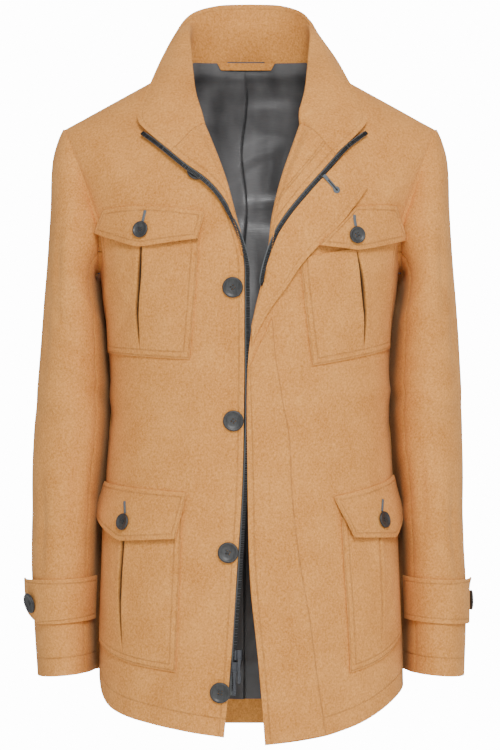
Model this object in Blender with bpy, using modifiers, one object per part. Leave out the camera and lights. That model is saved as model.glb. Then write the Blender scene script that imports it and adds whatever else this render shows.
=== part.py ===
"""Field jacket, filled out and open down the front.

Metres, +Z up, +X to the wearer's left, -Y to the front. The origin is at the neck, level with the
shoulder seams' inner ends, where the wearer's shoulders hold the jacket.
"""
import math

import bmesh
import bpy
from mathutils import Vector

# Cloth and seams
WOOL_WALL = 0.0024          # felted wool with its lining
DOUBLE_WALL = 0.0030        # collar and turned facings, two layers
PATCH_WALL = 0.0020         # pockets, flaps, straps and fly
LINING_WALL = 0.0010
TAPE_WALL = 0.0010
SEAM_GAP = 0.0003

# Torso: driving sizes
SHOULDER_HALF = 0.226       # centre to shoulder point
SHOULDER_DROP = 0.077       # shoulder point below the neck
NECK_HALF = 0.084
NECK_TOP = -0.004           # height of the panels' top edges at the neck
CHEST = -0.200              # the shoulders round off above this height
UNDERARM = -0.252
SIDE_Y = 0.006              # side and shoulder seams lie in this plane
HEM_LIFT_START = -0.600     # the hem's curve fades out at this height
FRONT_ROUND = 2.3           # 2 is an ellipse, more is squarer
BACK_ROUND = 2.2
FRONT_TOP_ROUND = 2.4       # the same, up to the shoulder seam
BACK_TOP_ROUND = 3.0
SHOULDER_SLOPE = SHOULDER_DROP / (SHOULDER_HALF - NECK_HALF)

# Rows and columns of each cloth grid
PANEL_HEM_ROWS = 11
PANEL_ARM_ROWS = 8
PANEL_SHOULDER_ROWS = 4
PANEL_ROWS = PANEL_HEM_ROWS + PANEL_ARM_ROWS + PANEL_SHOULDER_ROWS
FRONT_COLUMNS = 16
BACK_COLUMNS = 14
COLUMN_CROWDING = 0.9       # columns lie closer together towards the side
LINING_GRID = (14, 14)
TOP_SLEEVE_GRID = (16, 14)
UNDER_SLEEVE_GRID = (7, 14)
STRAP_GRID = (16, 4)
COLLAR_ROWS = 7
FACING_COLUMNS = 6
PLACKET_COLUMNS = 4
FLY_COLUMNS = 5
POCKET_COLUMNS = 5          # on each side of the pleat's fold
POCKET_ROWS = 7
FLAP_GRID = (10, 4)
LOOP_GRID = (10, 2)
ROUND_STEPS = 14

# Back lining
LINING_HEM = -0.782
LINING_TOP = -0.008
LINING_REACH = 0.93         # share of the way from the centre back to the side seam
LINING_IN = 0.0027          # the lining's middle, in from the backs'

# Half width on the wearer's right and left, and depth before and behind the side seam
BODY = [
    # height, right,  left,   front,  back
    (-0.830, 0.1840, 0.1890, 0.146, 0.124),
    (-0.760, 0.1840, 0.1870, 0.147, 0.125),
    (-0.690, 0.1830, 0.1850, 0.146, 0.122),
    (-0.600, 0.1790, 0.1790, 0.142, 0.112),
    (-0.500, 0.1755, 0.1740, 0.137, 0.098),
    (-0.410, 0.1695, 0.1695, 0.134, 0.090),
    (-0.320, 0.1745, 0.1720, 0.138, 0.098),
    (-0.235, 0.1860, 0.1840, 0.142, 0.112),
    (-0.170, 0.2060, 0.2060, 0.134, 0.118),
    (-0.110, 0.2380, 0.2380, 0.116, 0.120),
    (-0.070, 0.2620, 0.2620, 0.098, 0.118),
    (0.000, 0.3000, 0.3000, 0.066, 0.115),
    (0.060, 0.3200, 0.3200, 0.040, 0.110),
]

# Front edges: the zip edge below, the roll line of the turned lapel above, then the neckline
FRONT_EDGE = [
    # height, right x, left x
    (-0.8150, -0.0317, 0.0178),
    (-0.7130, -0.0224, 0.0095),
    (-0.6187, -0.0162, 0.0000),
    (-0.5000, -0.0090, -0.0030),
    (-0.3800, -0.0068, -0.0034),
    (-0.3168, -0.0068, 0.0024),
    (-0.2742, -0.0068, 0.0118),
    (-0.2346, -0.0063, 0.0190),
    (-0.1872, -0.0152, 0.0241),
    (-0.1411, -0.0300, 0.0357),
    (-0.0920, -0.0505, 0.0540),
    (-0.0550, -0.0665, 0.0680),
    (-0.0200, -0.0785, 0.0785),
    (0.0000, -0.0825, 0.0825),
]

# Where the armhole seam crosses each panel
ARMHOLE = [
    # height, front x, back x
    (-0.252, 0.1830, 0.1830),
    (-0.235, 0.1805, 0.1830),
    (-0.200, 0.1815, 0.1880),
    (-0.165, 0.1920, 0.1990),
    (-0.120, 0.2085, 0.2130),
    (-0.077, 0.2260, 0.2260),
]

# Hem height at the centre and at the side seam of each panel
HEM = {
    "front_right": (-0.805, -0.739),
    "front_left": (-0.814, -0.753),
    "back_right": (-0.8126, -0.739),
    "back_left": (-0.8126, -0.753),
}
HEM_CURVE = 3.6

# Sleeve rings, keyed by how far the outer side has dropped below the neck
SLEEVE = [
    # drop, outer x, inner x, inner z, front y, back y
    (0.077, 0.2260, 0.1850, -0.2520, -0.056, 0.066),
    (0.115, 0.2375, 0.1940, -0.2560, -0.066, 0.072),
    (0.175, 0.2420, 0.1960, -0.2660, -0.072, 0.081),
    (0.235, 0.2460, 0.1940, -0.2880, -0.073, 0.086),
    (0.290, 0.2505, 0.1895, -0.3150, -0.072, 0.088),
    (0.350, 0.2550, 0.1850, -0.3600, -0.070, 0.082),
    (0.410, 0.2600, 0.1830, -0.4130, -0.068, 0.076),
    (0.470, 0.2640, 0.1850, -0.4700, -0.068, 0.070),
    (0.540, 0.2650, 0.1900, -0.5380, -0.070, 0.062),
    (0.610, 0.2650, 0.1920, -0.6060, -0.070, 0.053),
    (0.680, 0.2620, 0.1925, -0.6740, -0.068, 0.046),
    (0.741, 0.2580, 0.1925, -0.7350, -0.066, 0.041),
]
SLEEVE_ROUND = 2.15
SHOULDER_END = SLEEVE[0][0]
CUFF_END = SLEEVE[-1][0]
CAP_END = 0.200             # the armhole's own shape has faded out at this drop
ARM_GAP = 0.0021            # sleeve's first edge, out from the armhole, and what is added where
ARM_GAP_UNDER = 0.0014
ARM_GAP_BACK = 0.0010
ARM_GAP_TOP = 0.0006
UNDER_SEAM_FRONT = 118      # degrees round from the sleeve's outer side
UNDER_SEAM_BACK = 242
SLEEVE_SEAM = 0.55          # degrees left open on each side of a seam

# The sleeves' largest creases: soft bands round the elbow and wrist
SLEEVE_CREASES = [
    # drop, angle, depth, length, spread in degrees
    (0.345, 95, -0.0030, 0.016, 45),
    (0.392, 130, -0.0026, 0.014, 50),
    (0.430, 60, -0.0028, 0.016, 48),
    (0.478, 100, -0.0022, 0.018, 55),
    (0.360, 250, -0.0030, 0.020, 55),
    (0.440, 280, -0.0028, 0.018, 50),
    (0.560, 75, -0.0018, 0.020, 60),
]

# Collar sections from the centre back (first) to the front end (last), on the right side.
# The neck column is the x of a section that starts on the backs, or else the height of one that
# starts on a front. "reach" is how much farther out the left side's free edge lies.
COLLAR = [
    # on back, neck, roll x, y, z, edge x, y, z, bulge, reach
    (1, 0.0000, 0.0000, 0.0900, 0.0450, 0.0000, 0.0980, 0.0855, 0.000, 0.000),
    (1, 0.0400, 0.0400, 0.0850, 0.0450, 0.0410, 0.0900, 0.0830, 0.001, -0.001),
    (1, 0.0680, 0.0690, 0.0640, 0.0480, 0.0735, 0.0680, 0.0705, 0.003, -0.006),
    (1, 0.0840, 0.0745, 0.0300, 0.0400, 0.0922, 0.0400, 0.0420, 0.005, -0.008),
    (0, -0.0045, 0.0725, -0.0020, 0.0180, 0.1080, 0.0080, 0.0090, 0.006, -0.003),
    (0, -0.0210, 0.0705, -0.0330, -0.0080, 0.1190, -0.0290, -0.0200, 0.006, 0.000),
    (0, -0.0430, 0.0680, -0.0610, -0.0340, 0.1302, -0.0530, -0.0480, 0.005, 0.004),
    (0, -0.0600, 0.0635, -0.0760, -0.0530, 0.1345, -0.0690, -0.0690, 0.005, 0.006),
    (0, -0.0660, 0.0600, -0.0825, -0.0620, 0.1230, -0.0880, -0.0855, 0.005, 0.007),
    (0, -0.0700, 0.0575, -0.0870, -0.0690, 0.0940, -0.1060, -0.1075, 0.004, 0.0095),
]
COLLAR_KEYS = (0.0, 0.34, 0.67, 1.0)    # how far across the collar a section's four points lie
COLLAR_SWELL = Vector((0.0, -0.4, 0.9))
COLLAR_OUT = 0.0042         # the collar's first edge stands just off the panels' neck edges
COLLAR_LAP = 0.0060         # and laps over the backs' neck edge, most at the centre

# Turned facings, from the roll line out to the zip: each row pairs a height on the roll line
# with a station of the zip's table
LAPEL_RIGHT = [
    # roll height, zip station
    (-0.0765, 1.36),
    (-0.0977, 2.00),
    (-0.1256, 3.00),
    (-0.1527, 4.00),
    (-0.1795, 5.00),
    (-0.2000, 5.80),
]
LAPEL_LEFT = [
    (-0.0765, 1.34),
    (-0.0950, 2.00),
    (-0.1250, 3.00),
    (-0.1600, 4.00),
    (-0.2000, 4.90),
    (-0.2130, 5.25),
]
ROLL_OUT = 0.0028           # how far the facing's first edge stands off the front
FACING_OUT = 0.0098
LAPEL_FULL_WIDTH = 0.045    # narrower lapels stand off less
LAPEL_CROWN = 0.3           # how far across the facing it stands off most
ZIP_HALF = 0.0027
ZIP_MARGIN = 0.0031

# Zip centre lines and how far they stand off the fronts: over the lapel above, behind the edge below
ZIP_RIGHT = [
    # x, z, out
    (-0.1265, -0.0905, 0.0064),
    (-0.1050, -0.1070, 0.0072),
    (-0.0763, -0.1307, 0.0076),
    (-0.0534, -0.1471, 0.0074),
    (-0.0364, -0.1647, 0.0064),
    (-0.0248, -0.1838, 0.0056),
    (-0.0155, -0.2028, 0.0048),
    (-0.0080, -0.2236, 0.0040),
    (-0.0035, -0.2443, 0.0032),
    (-0.0035, -0.2744, 0.0000),
    (-0.0035, -0.3100, -0.0016),
    (-0.0035, -0.3450, -0.0024),
    (-0.0035, -0.4300, -0.0024),
    (-0.0058, -0.5000, -0.0024),
    (-0.0092, -0.5600, -0.0024),
    (-0.0129, -0.6187, -0.0024),
    (-0.0167, -0.6660, -0.0024),
    (-0.0193, -0.7130, -0.0024),
    (-0.0213, -0.7550, -0.0024),
]
ZIP_LEFT = [
    (0.1370, -0.0890, 0.0062),
    (0.1133, -0.1076, 0.0064),
    (0.0867, -0.1373, 0.0066),
    (0.0656, -0.1609, 0.0064),
    (0.0467, -0.1838, 0.0060),
    (0.0315, -0.2066, 0.0056),
    (0.0222, -0.2293, 0.0052),
    (0.0175, -0.2443, 0.0048),
    (0.0137, -0.2632, 0.0042),
]

# The covered placket: its turned part, then the outer fly down the left front
PLACKET = [
    # inner x, inner z, outer x, outer z, out
    (0.1105, -0.1170, 0.1382, -0.1520, 0.0064),
    (0.0892, -0.1397, 0.1254, -0.1703, 0.0066),
    (0.0681, -0.1632, 0.1020, -0.1993, 0.0070),
    (0.0492, -0.1860, 0.0790, -0.2227, 0.0072),
    (0.0343, -0.2086, 0.0588, -0.2459, 0.0070),
    (0.0252, -0.2310, 0.0426, -0.2708, 0.0062),
    (0.0208, -0.2455, 0.0307, -0.2873, 0.0052),
    (0.0170, -0.2650, 0.0200, -0.3040, 0.0038),
    (0.0085, -0.2930, 0.0095, -0.3228, 0.0034),
    (0.0028, -0.3180, 0.0020, -0.3400, 0.0028),
]
FLY = [
    (-0.0018, -0.3700, 0.0262, -0.3080, 0.0026),
    (-0.0030, -0.4000, 0.0310, -0.3550, 0.0026),
    (-0.0034, -0.4350, 0.0392, -0.4057, 0.0026),
    (-0.0032, -0.4700, 0.0475, -0.4531, 0.0026),
    (-0.0024, -0.5300, 0.0510, -0.5242, 0.0026),
    (-0.0008, -0.5953, 0.0593, -0.5953, 0.0026),
    (0.0050, -0.6663, 0.0711, -0.6663, 0.0026),
    (0.0120, -0.7374, 0.0806, -0.7374, 0.0026),
    (0.0178, -0.8135, 0.0905, -0.8090, 0.0026),
]

# Patch pockets: corners on the front as x, height. The pleat is where its fold crosses each edge.
POCKETS = {
    "chest_pocket_right": {
        "top_in": (-0.0600, -0.2060), "top_out": (-0.1780, -0.2060),
        "bottom_in": (-0.0712, -0.3570), "bottom_out": (-0.1695, -0.3485),
        "pleat": (0.45, 0.43), "dip": 0.000,
    },
    "chest_pocket_left": {
        "top_in": (0.0590, -0.2370), "top_out": (0.1760, -0.2100),
        "bottom_in": (0.0734, -0.3647), "bottom_out": (0.1670, -0.3430),
        "pleat": (0.47, 0.50), "dip": 0.001,
    },
    "lower_pocket_right": {
        "top_in": (-0.0800, -0.5400), "top_out": (-0.1755, -0.5300),
        "bottom_in": (-0.0877, -0.7279), "bottom_out": (-0.1800, -0.6985),
        "pleat": (0.48, 0.51), "dip": -0.004,
    },
    "lower_pocket_left": {
        "top_in": (0.1070, -0.5450), "top_out": (0.1750, -0.5350),
        "bottom_in": (0.1188, -0.7300), "bottom_out": (0.1800, -0.6900),
        "pleat": (0.43, 0.45), "dip": -0.004,
    },
}
POCKET_OUT = 0.0034
POCKET_BULGE = 0.0024
PLEAT_DEPTH = 0.0018
PLEAT_HALF = 0.022          # half the pleat groove's width, as a share of the pocket

# Pocket flaps: corners on the front, and how far along its lower edge the flap's point lies
FLAPS = {
    "chest_flap_right": {
        "top_in": (-0.0530, -0.1826), "top_out": (-0.1750, -0.1785),
        "bottom_in": (-0.0600, -0.2154), "bottom_out": (-0.1775, -0.2060),
        "point": (0.56, -0.0105),
    },
    "chest_flap_left": {
        "top_in": (0.1240, -0.1765), "top_out": (0.1740, -0.1733),
        "bottom_in": (0.0835, -0.2240), "bottom_out": (0.1790, -0.2110),
        "point": (0.48, -0.0085),
    },
    "lower_flap_right": {
        "top_in": (-0.0735, -0.5158), "top_out": (-0.1735, -0.5050),
        "bottom_in": (-0.0853, -0.5709), "bottom_out": (-0.1770, -0.5430),
        "point": (0.60, -0.0160),
    },
    "lower_flap_left": {
        "top_in": (0.0974, -0.5212), "top_out": (0.1715, -0.4970),
        "bottom_in": (0.1184, -0.5699), "bottom_out": (0.1755, -0.5460),
        "point": (0.52, -0.0110),
    },
}
FLAP_OUT_TOP = 0.0036
FLAP_OUT_FOOT = 0.0108

# Cuff straps run round the front of the cuff to a free end at the outer side
STRAP_TOP = 0.6235
STRAP_FOOT = 0.6775
STRAP_START = 166           # degrees round from the outer side
STRAP_END = -16
STRAP_OUT = 0.0032
STRAP_END_OUT = 0.0082
STRAP_LIFT = 0.55           # share of the strap from which it starts to lift
STRAP_POINT = 10            # degrees the strap's middle runs on past its corners

# Buttons
FRONT_BUTTON = 0.0248
POCKET_BUTTON = 0.0202
BUTTON_THICK = 0.0036
FRONT_BUTTONS = [
    # x, height
    (-0.0622, -0.1340),
    (-0.0203, -0.2719),
    (-0.0197, -0.4305),
    (-0.0258, -0.5866),
    (-0.0350, -0.7518),
]
FRONT_BUTTON_OUT = 0.0016
POCKET_BUTTONS = {
    "chest_button_right": (-0.1292, -0.2035),
    "chest_button_left": (0.1266, -0.2097),
    "lower_button_right": (-0.1505, -0.5519),
    "lower_button_left": (0.1592, -0.5498),
}
CUFF_BUTTON_ANGLE = {"right": 22, "left": 3}
CUFF_BUTTON_DROP = 0.6510
BUTTON_LIFT = 0.0006        # a button's back, out from the cloth it is sewn on
CUFF_BUTTON_LIFT = 0.0009

# Zip sliders and their pull tabs, on the right front's zip
SLIDERS = {
    # slider x, height, tab x
    "upper": (-0.0135, -0.7072, -0.0128),
    "lower": (-0.0172, -0.7215, -0.0184),
}
SLIDER_WIDTH = 0.0098
SLIDER_HEIGHT = 0.0125
SLIDER_BACK = -0.0012       # back face, measured out from the front's surface
SLIDER_FACE = 0.0024
CHEEK_FACE = 0.0050
CHEEK_WALL = 0.0011
TAB_WIDTH = 0.0042
TAB_LENGTH = 0.0300
TAB_THICK = 0.0012
TAB_OUT = 0.0038            # the hinge axis, out from the front's surface
HINGE_UP = 0.0022           # the hinge axis above the slider's foot
TAB_SIDE = [
    # share of half the width, height from the hinge axis
    (1.00, 0.0007),
    (1.00, -0.0060),
    (0.72, -0.0085),
    (0.72, -0.0150),
    (1.00, -0.0200),
]

# Hanger loop at the back neck
LOOP_RIGHT = -0.041
LOOP_LEFT = 0.031
LOOP_FOOT_SHARE = 0.86      # its foot's length, as a share of its top's
LOOP_TOP = 0.0085
LOOP_FOOT = -0.0030
LOOP_IN = 0.0050            # in from the back's surface

COLORS = {
    "wool": (0.62, 0.34, 0.16),
    "wool_light": (0.66, 0.38, 0.19),
    "wool_shade": (0.52, 0.28, 0.12),
    "satin": (0.07, 0.07, 0.075),
    "horn": (0.09, 0.095, 0.10),
    "zip": (0.03, 0.03, 0.032),
    "metal": (0.10, 0.10, 0.11),
}


def clear_scene():
    for item in list(bpy.data.objects):
        bpy.data.objects.remove(item, do_unlink=True)


def make_material(name, color, roughness, metallic=0.0):
    material = bpy.data.materials.new(name)
    material.use_nodes = True
    shader = material.node_tree.nodes["Principled BSDF"]
    shader.inputs["Base Color"].default_value = (*color, 1.0)
    shader.inputs["Roughness"].default_value = roughness
    shader.inputs["Metallic"].default_value = metallic
    return material


# --- Curves through short tables -------------------------------------------------------------

def smooth(rows, column, at):
    """A table column's value at a key, on a smooth curve through its rows."""
    keys = [row[0] for row in rows]
    values = [row[column] for row in rows]
    at = min(max(at, keys[0]), keys[-1])
    i = max(j for j in range(len(keys) - 1) if keys[j] <= at)

    def slope(j):
        low = max(j - 1, 0)
        high = min(j + 1, len(keys) - 1)
        return (values[high] - values[low]) / (keys[high] - keys[low])

    step = keys[i + 1] - keys[i]
    t = (at - keys[i]) / step
    return ((1 + 2 * t) * (1 - t) ** 2 * values[i] + t * (1 - t) ** 2 * step * slope(i)
            + t * t * (3 - 2 * t) * values[i + 1] + t * t * (t - 1) * step * slope(i + 1))


def stations(rows, columns):
    """The table's rows keyed by their own number, to be read along with smooth()."""
    return [(i, *(row[c] for c in columns)) for i, row in enumerate(rows)]


def mix(a, b, t):
    return a + (b - a) * t


def ease(t):
    t = min(max(t, 0.0), 1.0)
    return t * t * (3 - 2 * t)


def ring_power(value, power):
    return math.copysign(abs(value) ** (2 / power), value)


# --- The torso's surface -------------------------------------------------------------------

def half_width(x, z):
    return smooth(BODY, 1 if x < 0 else 2, z)


def shoulder_height(x):
    x = abs(x)
    if x >= NECK_HALF:
        return -(x - NECK_HALF) * SHOULDER_SLOPE
    return SHOULDER_SLOPE * NECK_HALF / 2 * (1 - (x / NECK_HALF) ** 2)


def torso_y(x, z, back):
    """The torso surface's y at x and height z, on its front or its back."""
    across = min(abs(x) / half_width(x, z), 1.0)
    up = min(max((z - CHEST) / (shoulder_height(x) - CHEST), 0.0), 1.0)
    if back:
        depth = smooth(BODY, 4, z)
        rounding = (1 - across ** BACK_ROUND) ** (1 / BACK_ROUND)
        return SIDE_Y + SEAM_GAP / 2 + depth * rounding * (1 - up ** BACK_TOP_ROUND) ** (1 / BACK_TOP_ROUND)
    depth = smooth(BODY, 3, z)
    rounding = (1 - across ** FRONT_ROUND) ** (1 / FRONT_ROUND)
    return SIDE_Y - SEAM_GAP / 2 - depth * rounding * (1 - up ** FRONT_TOP_ROUND) ** (1 / FRONT_TOP_ROUND)


def torso_point(x, z, out=0.0, back=False):
    """A point of the torso at x and height z, moved out along the surface's normal.

    The surface is followed by its angle round the body, so that it stays exact at the sides.
    """
    half = half_width(x, z)
    power = BACK_ROUND if back else FRONT_ROUND
    side = -1 if x < 0 else 1
    angle = math.asin(min(abs(x) / half, 1.0) ** (power / 2))

    def at(turn, height):
        reach = side * half_width(x, height) * abs(math.sin(turn)) ** (2 / power)
        return Vector((reach, torso_y(reach, height, back), height))

    here = Vector((x, torso_y(x, z, back), z))
    if out == 0.0:
        return here
    turn = min(max(angle, 0.02), math.pi / 2 - 0.02)
    round_step = at(turn + 0.01, z) - at(turn - 0.01, z)
    up_step = at(turn, z + 0.0005) - at(turn, z - 0.0005)
    normal = round_step.cross(up_step).normalized()
    facing = 1 if back else -1
    if normal.y * facing < 0:
        normal = -normal
    return here + normal * out


def armhole_x(z, back):
    if z <= UNDERARM:
        return None
    return smooth(ARMHOLE, 2 if back else 1, z)


def panel_end(side, z, back):
    """Where a panel's row ends: at the side seam, the armhole or the shoulder seam."""
    if z <= UNDERARM + 1e-6:
        return side * half_width(side, z)
    if z < -SHOULDER_DROP:
        limit = half_width(side, z)
        return side * min(armhole_x(z, back), limit)
    return side * (NECK_HALF - z / SHOULDER_SLOPE)


# --- Making pieces ---------------------------------------------------------------------------

def link(obj, material, collection):
    obj.data.materials.append(material)
    collection.objects.link(obj)
    return obj


def cloth(name, columns, rows, place, wall, material, collection):
    """A cloth piece: a grid laid on place(u, v), thickened to both sides."""
    grid = bmesh.new()
    bmesh.ops.create_grid(grid, x_segments=columns, y_segments=rows, size=0.5)
    for vertex in grid.verts:
        u = round(vertex.co.x + 0.5, 5)
        v = round(vertex.co.y + 0.5, 5)
        vertex.co = place(u, v)
    mesh = bpy.data.meshes.new(name)
    grid.to_mesh(mesh)
    grid.free()
    mesh.shade_smooth()
    obj = link(bpy.data.objects.new(name, mesh), material, collection)
    thickness = obj.modifiers.new("Wall", "SOLIDIFY")
    thickness.thickness = wall
    thickness.offset = 0.0
    return obj


def outline_prism(name, points, depth, material, collection):
    """A flat outline in its own XY plane, extruded to depth along its Z."""
    curve = bpy.data.curves.new(name, "CURVE")
    curve.dimensions = "2D"
    curve.fill_mode = "BOTH"
    curve.extrude = depth / 2
    spline = curve.splines.new("POLY")
    spline.points.add(len(points) - 1)
    for point, (x, y) in zip(spline.points, points):
        point.co = (x, y, 0.0, 1.0)
    spline.use_cyclic_u = True
    return link(bpy.data.objects.new(name, curve), material, collection)


def turned(name, profile, steps, material, collection):
    """A profile of radius and height, from the top's centre to the foot's, turned round Z."""
    mesh = bpy.data.meshes.new(name)
    points = [(radius, 0.0, height) for radius, height in profile]
    mesh.from_pydata(points, [(i, i + 1) for i in range(len(points) - 1)], [])
    obj = link(bpy.data.objects.new(name, mesh), material, collection)
    screw = obj.modifiers.new("Turn", "SCREW")
    screw.steps = steps
    screw.render_steps = steps
    screw.use_merge_vertices = True
    screw.merge_threshold = 0.0001
    screw.use_smooth_shade = True
    return obj


# --- Body panels -----------------------------------------------------------------------------

def panel_height(v, hem):
    """Row heights: even below the underarm, round the armhole, then up the shoulder."""
    row = round(v * PANEL_ROWS)
    if row <= PANEL_HEM_ROWS:
        return mix(hem, UNDERARM, row / PANEL_HEM_ROWS)
    if row <= PANEL_HEM_ROWS + PANEL_ARM_ROWS:
        turn = math.pi * (row - PANEL_HEM_ROWS) / PANEL_ARM_ROWS
        return mix(UNDERARM, -SHOULDER_DROP, (1 - math.cos(turn)) / 2)
    return mix(-SHOULDER_DROP, NECK_TOP, (row - PANEL_ROWS + PANEL_SHOULDER_ROWS) / PANEL_SHOULDER_ROWS)


def hem_lift(name, share, z):
    """The hem rises to the side seams, and the rows above it follow less and less."""
    centre, side = HEM[name]
    fade = ease((HEM_LIFT_START - z) / (HEM_LIFT_START - centre))
    return (side - centre) * share ** HEM_CURVE * fade


def panel_share(u):
    """Columns lie closer together towards the side, where the panel turns."""
    return math.sin(u * math.pi / 2) ** COLUMN_CROWDING


def front_edge(side, z):
    return smooth(FRONT_EDGE, 1 if side < 0 else 2, z)


def make_front(name, side, material, collection):
    def place(u, v):
        share = panel_share(u)
        z = panel_height(v, HEM[name][0])
        start = front_edge(side, z)
        z += hem_lift(name, share, z)
        return torso_point(mix(start, panel_end(side, z, False), share), z)

    return cloth(name, FRONT_COLUMNS, PANEL_ROWS, place, WOOL_WALL, material, collection)


def back_point(name, side, u, z, out=0.0):
    share = panel_share(u)
    z += hem_lift(name, share, z)
    return torso_point(mix(side * SEAM_GAP / 2, panel_end(side, z, True), share), z, out, back=True)


def make_back(name, side, material, collection):
    def place(u, v):
        return back_point(name, side, u, panel_height(v, HEM[name][0]))

    return cloth(name, BACK_COLUMNS, PANEL_ROWS, place, WOOL_WALL, material, collection)


def make_back_lining(material, collection):
    """The lining hangs inside both backs, just short of their sides, hem and neck."""
    def place(u, v):
        across = 2 * u - 1
        side = -1 if across < 0 else 1
        name = "back_left" if side > 0 else "back_right"
        z = mix(LINING_HEM, LINING_TOP, v)
        return back_point(name, side, abs(across) * LINING_REACH, z, -LINING_IN)

    return cloth("back_lining", *LINING_GRID, place, LINING_WALL, material, collection)


# --- Sleeves ---------------------------------------------------------------------------------

def armhole_point(side, angle):
    """A point of the armhole seam. The angle runs from the shoulder, by the front, to the underarm."""
    turn = math.radians(angle)
    middle = (UNDERARM - SHOULDER_DROP) / 2
    half = (-SHOULDER_DROP - UNDERARM) / 2
    z = middle + half * math.cos(turn)
    back = angle > 180
    x = panel_end(side, z, back)
    return torso_point(x, z, back=back)


def sleeve_ring(side, angle, drop):
    """A point of the ellipse-like ring whose outer side has dropped this far."""
    turn = math.radians(angle)
    outer = Vector((smooth(SLEEVE, 1, drop), -drop))
    inner = Vector((smooth(SLEEVE, 2, drop), smooth(SLEEVE, 3, drop)))
    across = ring_power(math.cos(turn), SLEEVE_ROUND)
    middle = (outer + inner) / 2 + (outer - inner) / 2 * across
    front = smooth(SLEEVE, 4, drop)
    back = smooth(SLEEVE, 5, drop)
    # The widest place stays between the outer and inner side, front and back bulge apart from it
    depth = front if math.sin(turn) >= 0 else back
    y = SIDE_Y + (depth - SIDE_Y) * abs(ring_power(math.sin(turn), SLEEVE_ROUND))
    return Vector((side * middle.x, y, middle.y))


def armhole_gap(angle):
    """The sleeve stands out from the armhole, most under the arm, where it turns down."""
    down = (1 - math.cos(math.radians(angle))) / 2
    behind = max(-math.sin(math.radians(angle)), 0.0)
    return ARM_GAP + ARM_GAP_UNDER * down ** 6 + ARM_GAP_BACK * behind + ARM_GAP_TOP * (1 - down) ** 4


def sleeve_surface(side, angle, drop):
    """A point of the sleeve, which starts as the armhole and soon becomes the ring."""
    angle = angle % 360
    point = sleeve_ring(side, angle, drop)
    fade = 1 - ease((drop - SHOULDER_END) / (CAP_END - SHOULDER_END))
    if fade > 0:
        point += (armhole_point(side, angle) - sleeve_ring(side, angle, SHOULDER_END)) * fade
        point.x += side * armhole_gap(angle) * fade
    return point


def sleeve_point(side, angle, drop, out=0.0):
    """A point moved out from the sleeve along its normal, creases included."""
    for height, middle, depth, length, spread in SLEEVE_CREASES:
        round_by = (angle - middle + 180) % 360 - 180
        along = (drop - height - round_by * 0.0003) / length
        out += depth * math.exp(-along ** 2) * math.exp(-(round_by / spread) ** 2)
    point = sleeve_surface(side, angle, drop)
    if abs(out) < 1e-5:
        return point
    low = min(max(drop, SHOULDER_END + 0.002), CUFF_END - 0.002)
    around = sleeve_surface(side, angle + 2, low) - sleeve_surface(side, angle - 2, low)
    down = sleeve_surface(side, angle, low + 0.002) - sleeve_surface(side, angle, low - 0.002)
    return point + around.cross(down).normalized() * side * out


def make_sleeve_piece(name, side, first, last, grid, material, collection):
    def place(u, v):
        drop = mix(CUFF_END, SHOULDER_END, v)
        angle = mix(first + SLEEVE_SEAM, last - SLEEVE_SEAM, u)
        return sleeve_point(side, angle, drop)

    return cloth(name, *grid, place, WOOL_WALL, material, collection)


def strap_out(angle):
    """A strap stands off more and more towards its free end."""
    share = (STRAP_START - angle) / (STRAP_START - STRAP_END)
    return mix(STRAP_OUT, STRAP_END_OUT, ease((share - STRAP_LIFT) / (1 - STRAP_LIFT)))


def make_cuff_strap(name, side, material, collection):
    def place(u, v):
        across = 1 - abs(2 * v - 1)
        end = STRAP_END - STRAP_POINT * across
        angle = mix(STRAP_START, end, u)
        height = mix(STRAP_FOOT, STRAP_TOP, v)
        return sleeve_point(side, angle, height, strap_out(angle))

    return cloth(name, *STRAP_GRID, place, PATCH_WALL, material, collection)


# --- Collar, turned facings, placket and zip -----------------------------------------------------

def collar_section(row, side):
    """The four points of a section: neck seam, roll, middle of the turned part, free edge."""
    on_back, neck, roll_x, roll_y, roll_z, edge_x, edge_y, edge_z, bulge, reach = row
    if on_back:
        height = NECK_TOP - COLLAR_LAP * (1 - (neck / NECK_HALF) ** 2)
        base = torso_point(side * neck, height, COLLAR_OUT, back=True)
    else:
        base = torso_point(front_edge(side, neck), neck, COLLAR_OUT)
    if side > 0:
        edge_x += reach
    roll = Vector((side * roll_x, roll_y, roll_z))
    edge = Vector((side * edge_x, edge_y, edge_z))
    swell = COLLAR_SWELL * bulge
    return [base, roll, (roll + edge) / 2 + swell, edge]


def make_collar(material, collection):
    last = len(COLLAR) - 1
    sections = {side: [collar_section(row, side) for row in COLLAR] for side in (-1, 1)}

    def along_collar(side, part, station):
        """One of a section's four points, between the table's sections."""
        table = [(i, *section[part]) for i, section in enumerate(sections[side])]
        return [smooth(table, axis, station) for axis in (1, 2, 3)]

    def place(u, v):
        along = (2 * u - 1) * last
        side = -1 if along < 0 else 1
        table = [(key, *along_collar(side, part, abs(along))) for part, key in enumerate(COLLAR_KEYS)]
        return Vector([smooth(table, axis, v) for axis in (1, 2, 3)])

    return cloth("collar", 4 * last, COLLAR_ROWS, place, DOUBLE_WALL, material, collection)


def beside_zip(table, station, across):
    """The x, height and stand-off of a place beside a zip's centre line, across it by a distance."""
    rows = stations(table, (0, 1, 2))
    x, z, out = (smooth(rows, c, station) for c in (1, 2, 3))
    step = 0.02
    ahead = [smooth(rows, c, station + step) - smooth(rows, c, station - step) for c in (1, 2)]
    length = math.hypot(*ahead)
    return x - ahead[1] / length * across, z + ahead[0] / length * across, out


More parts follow.
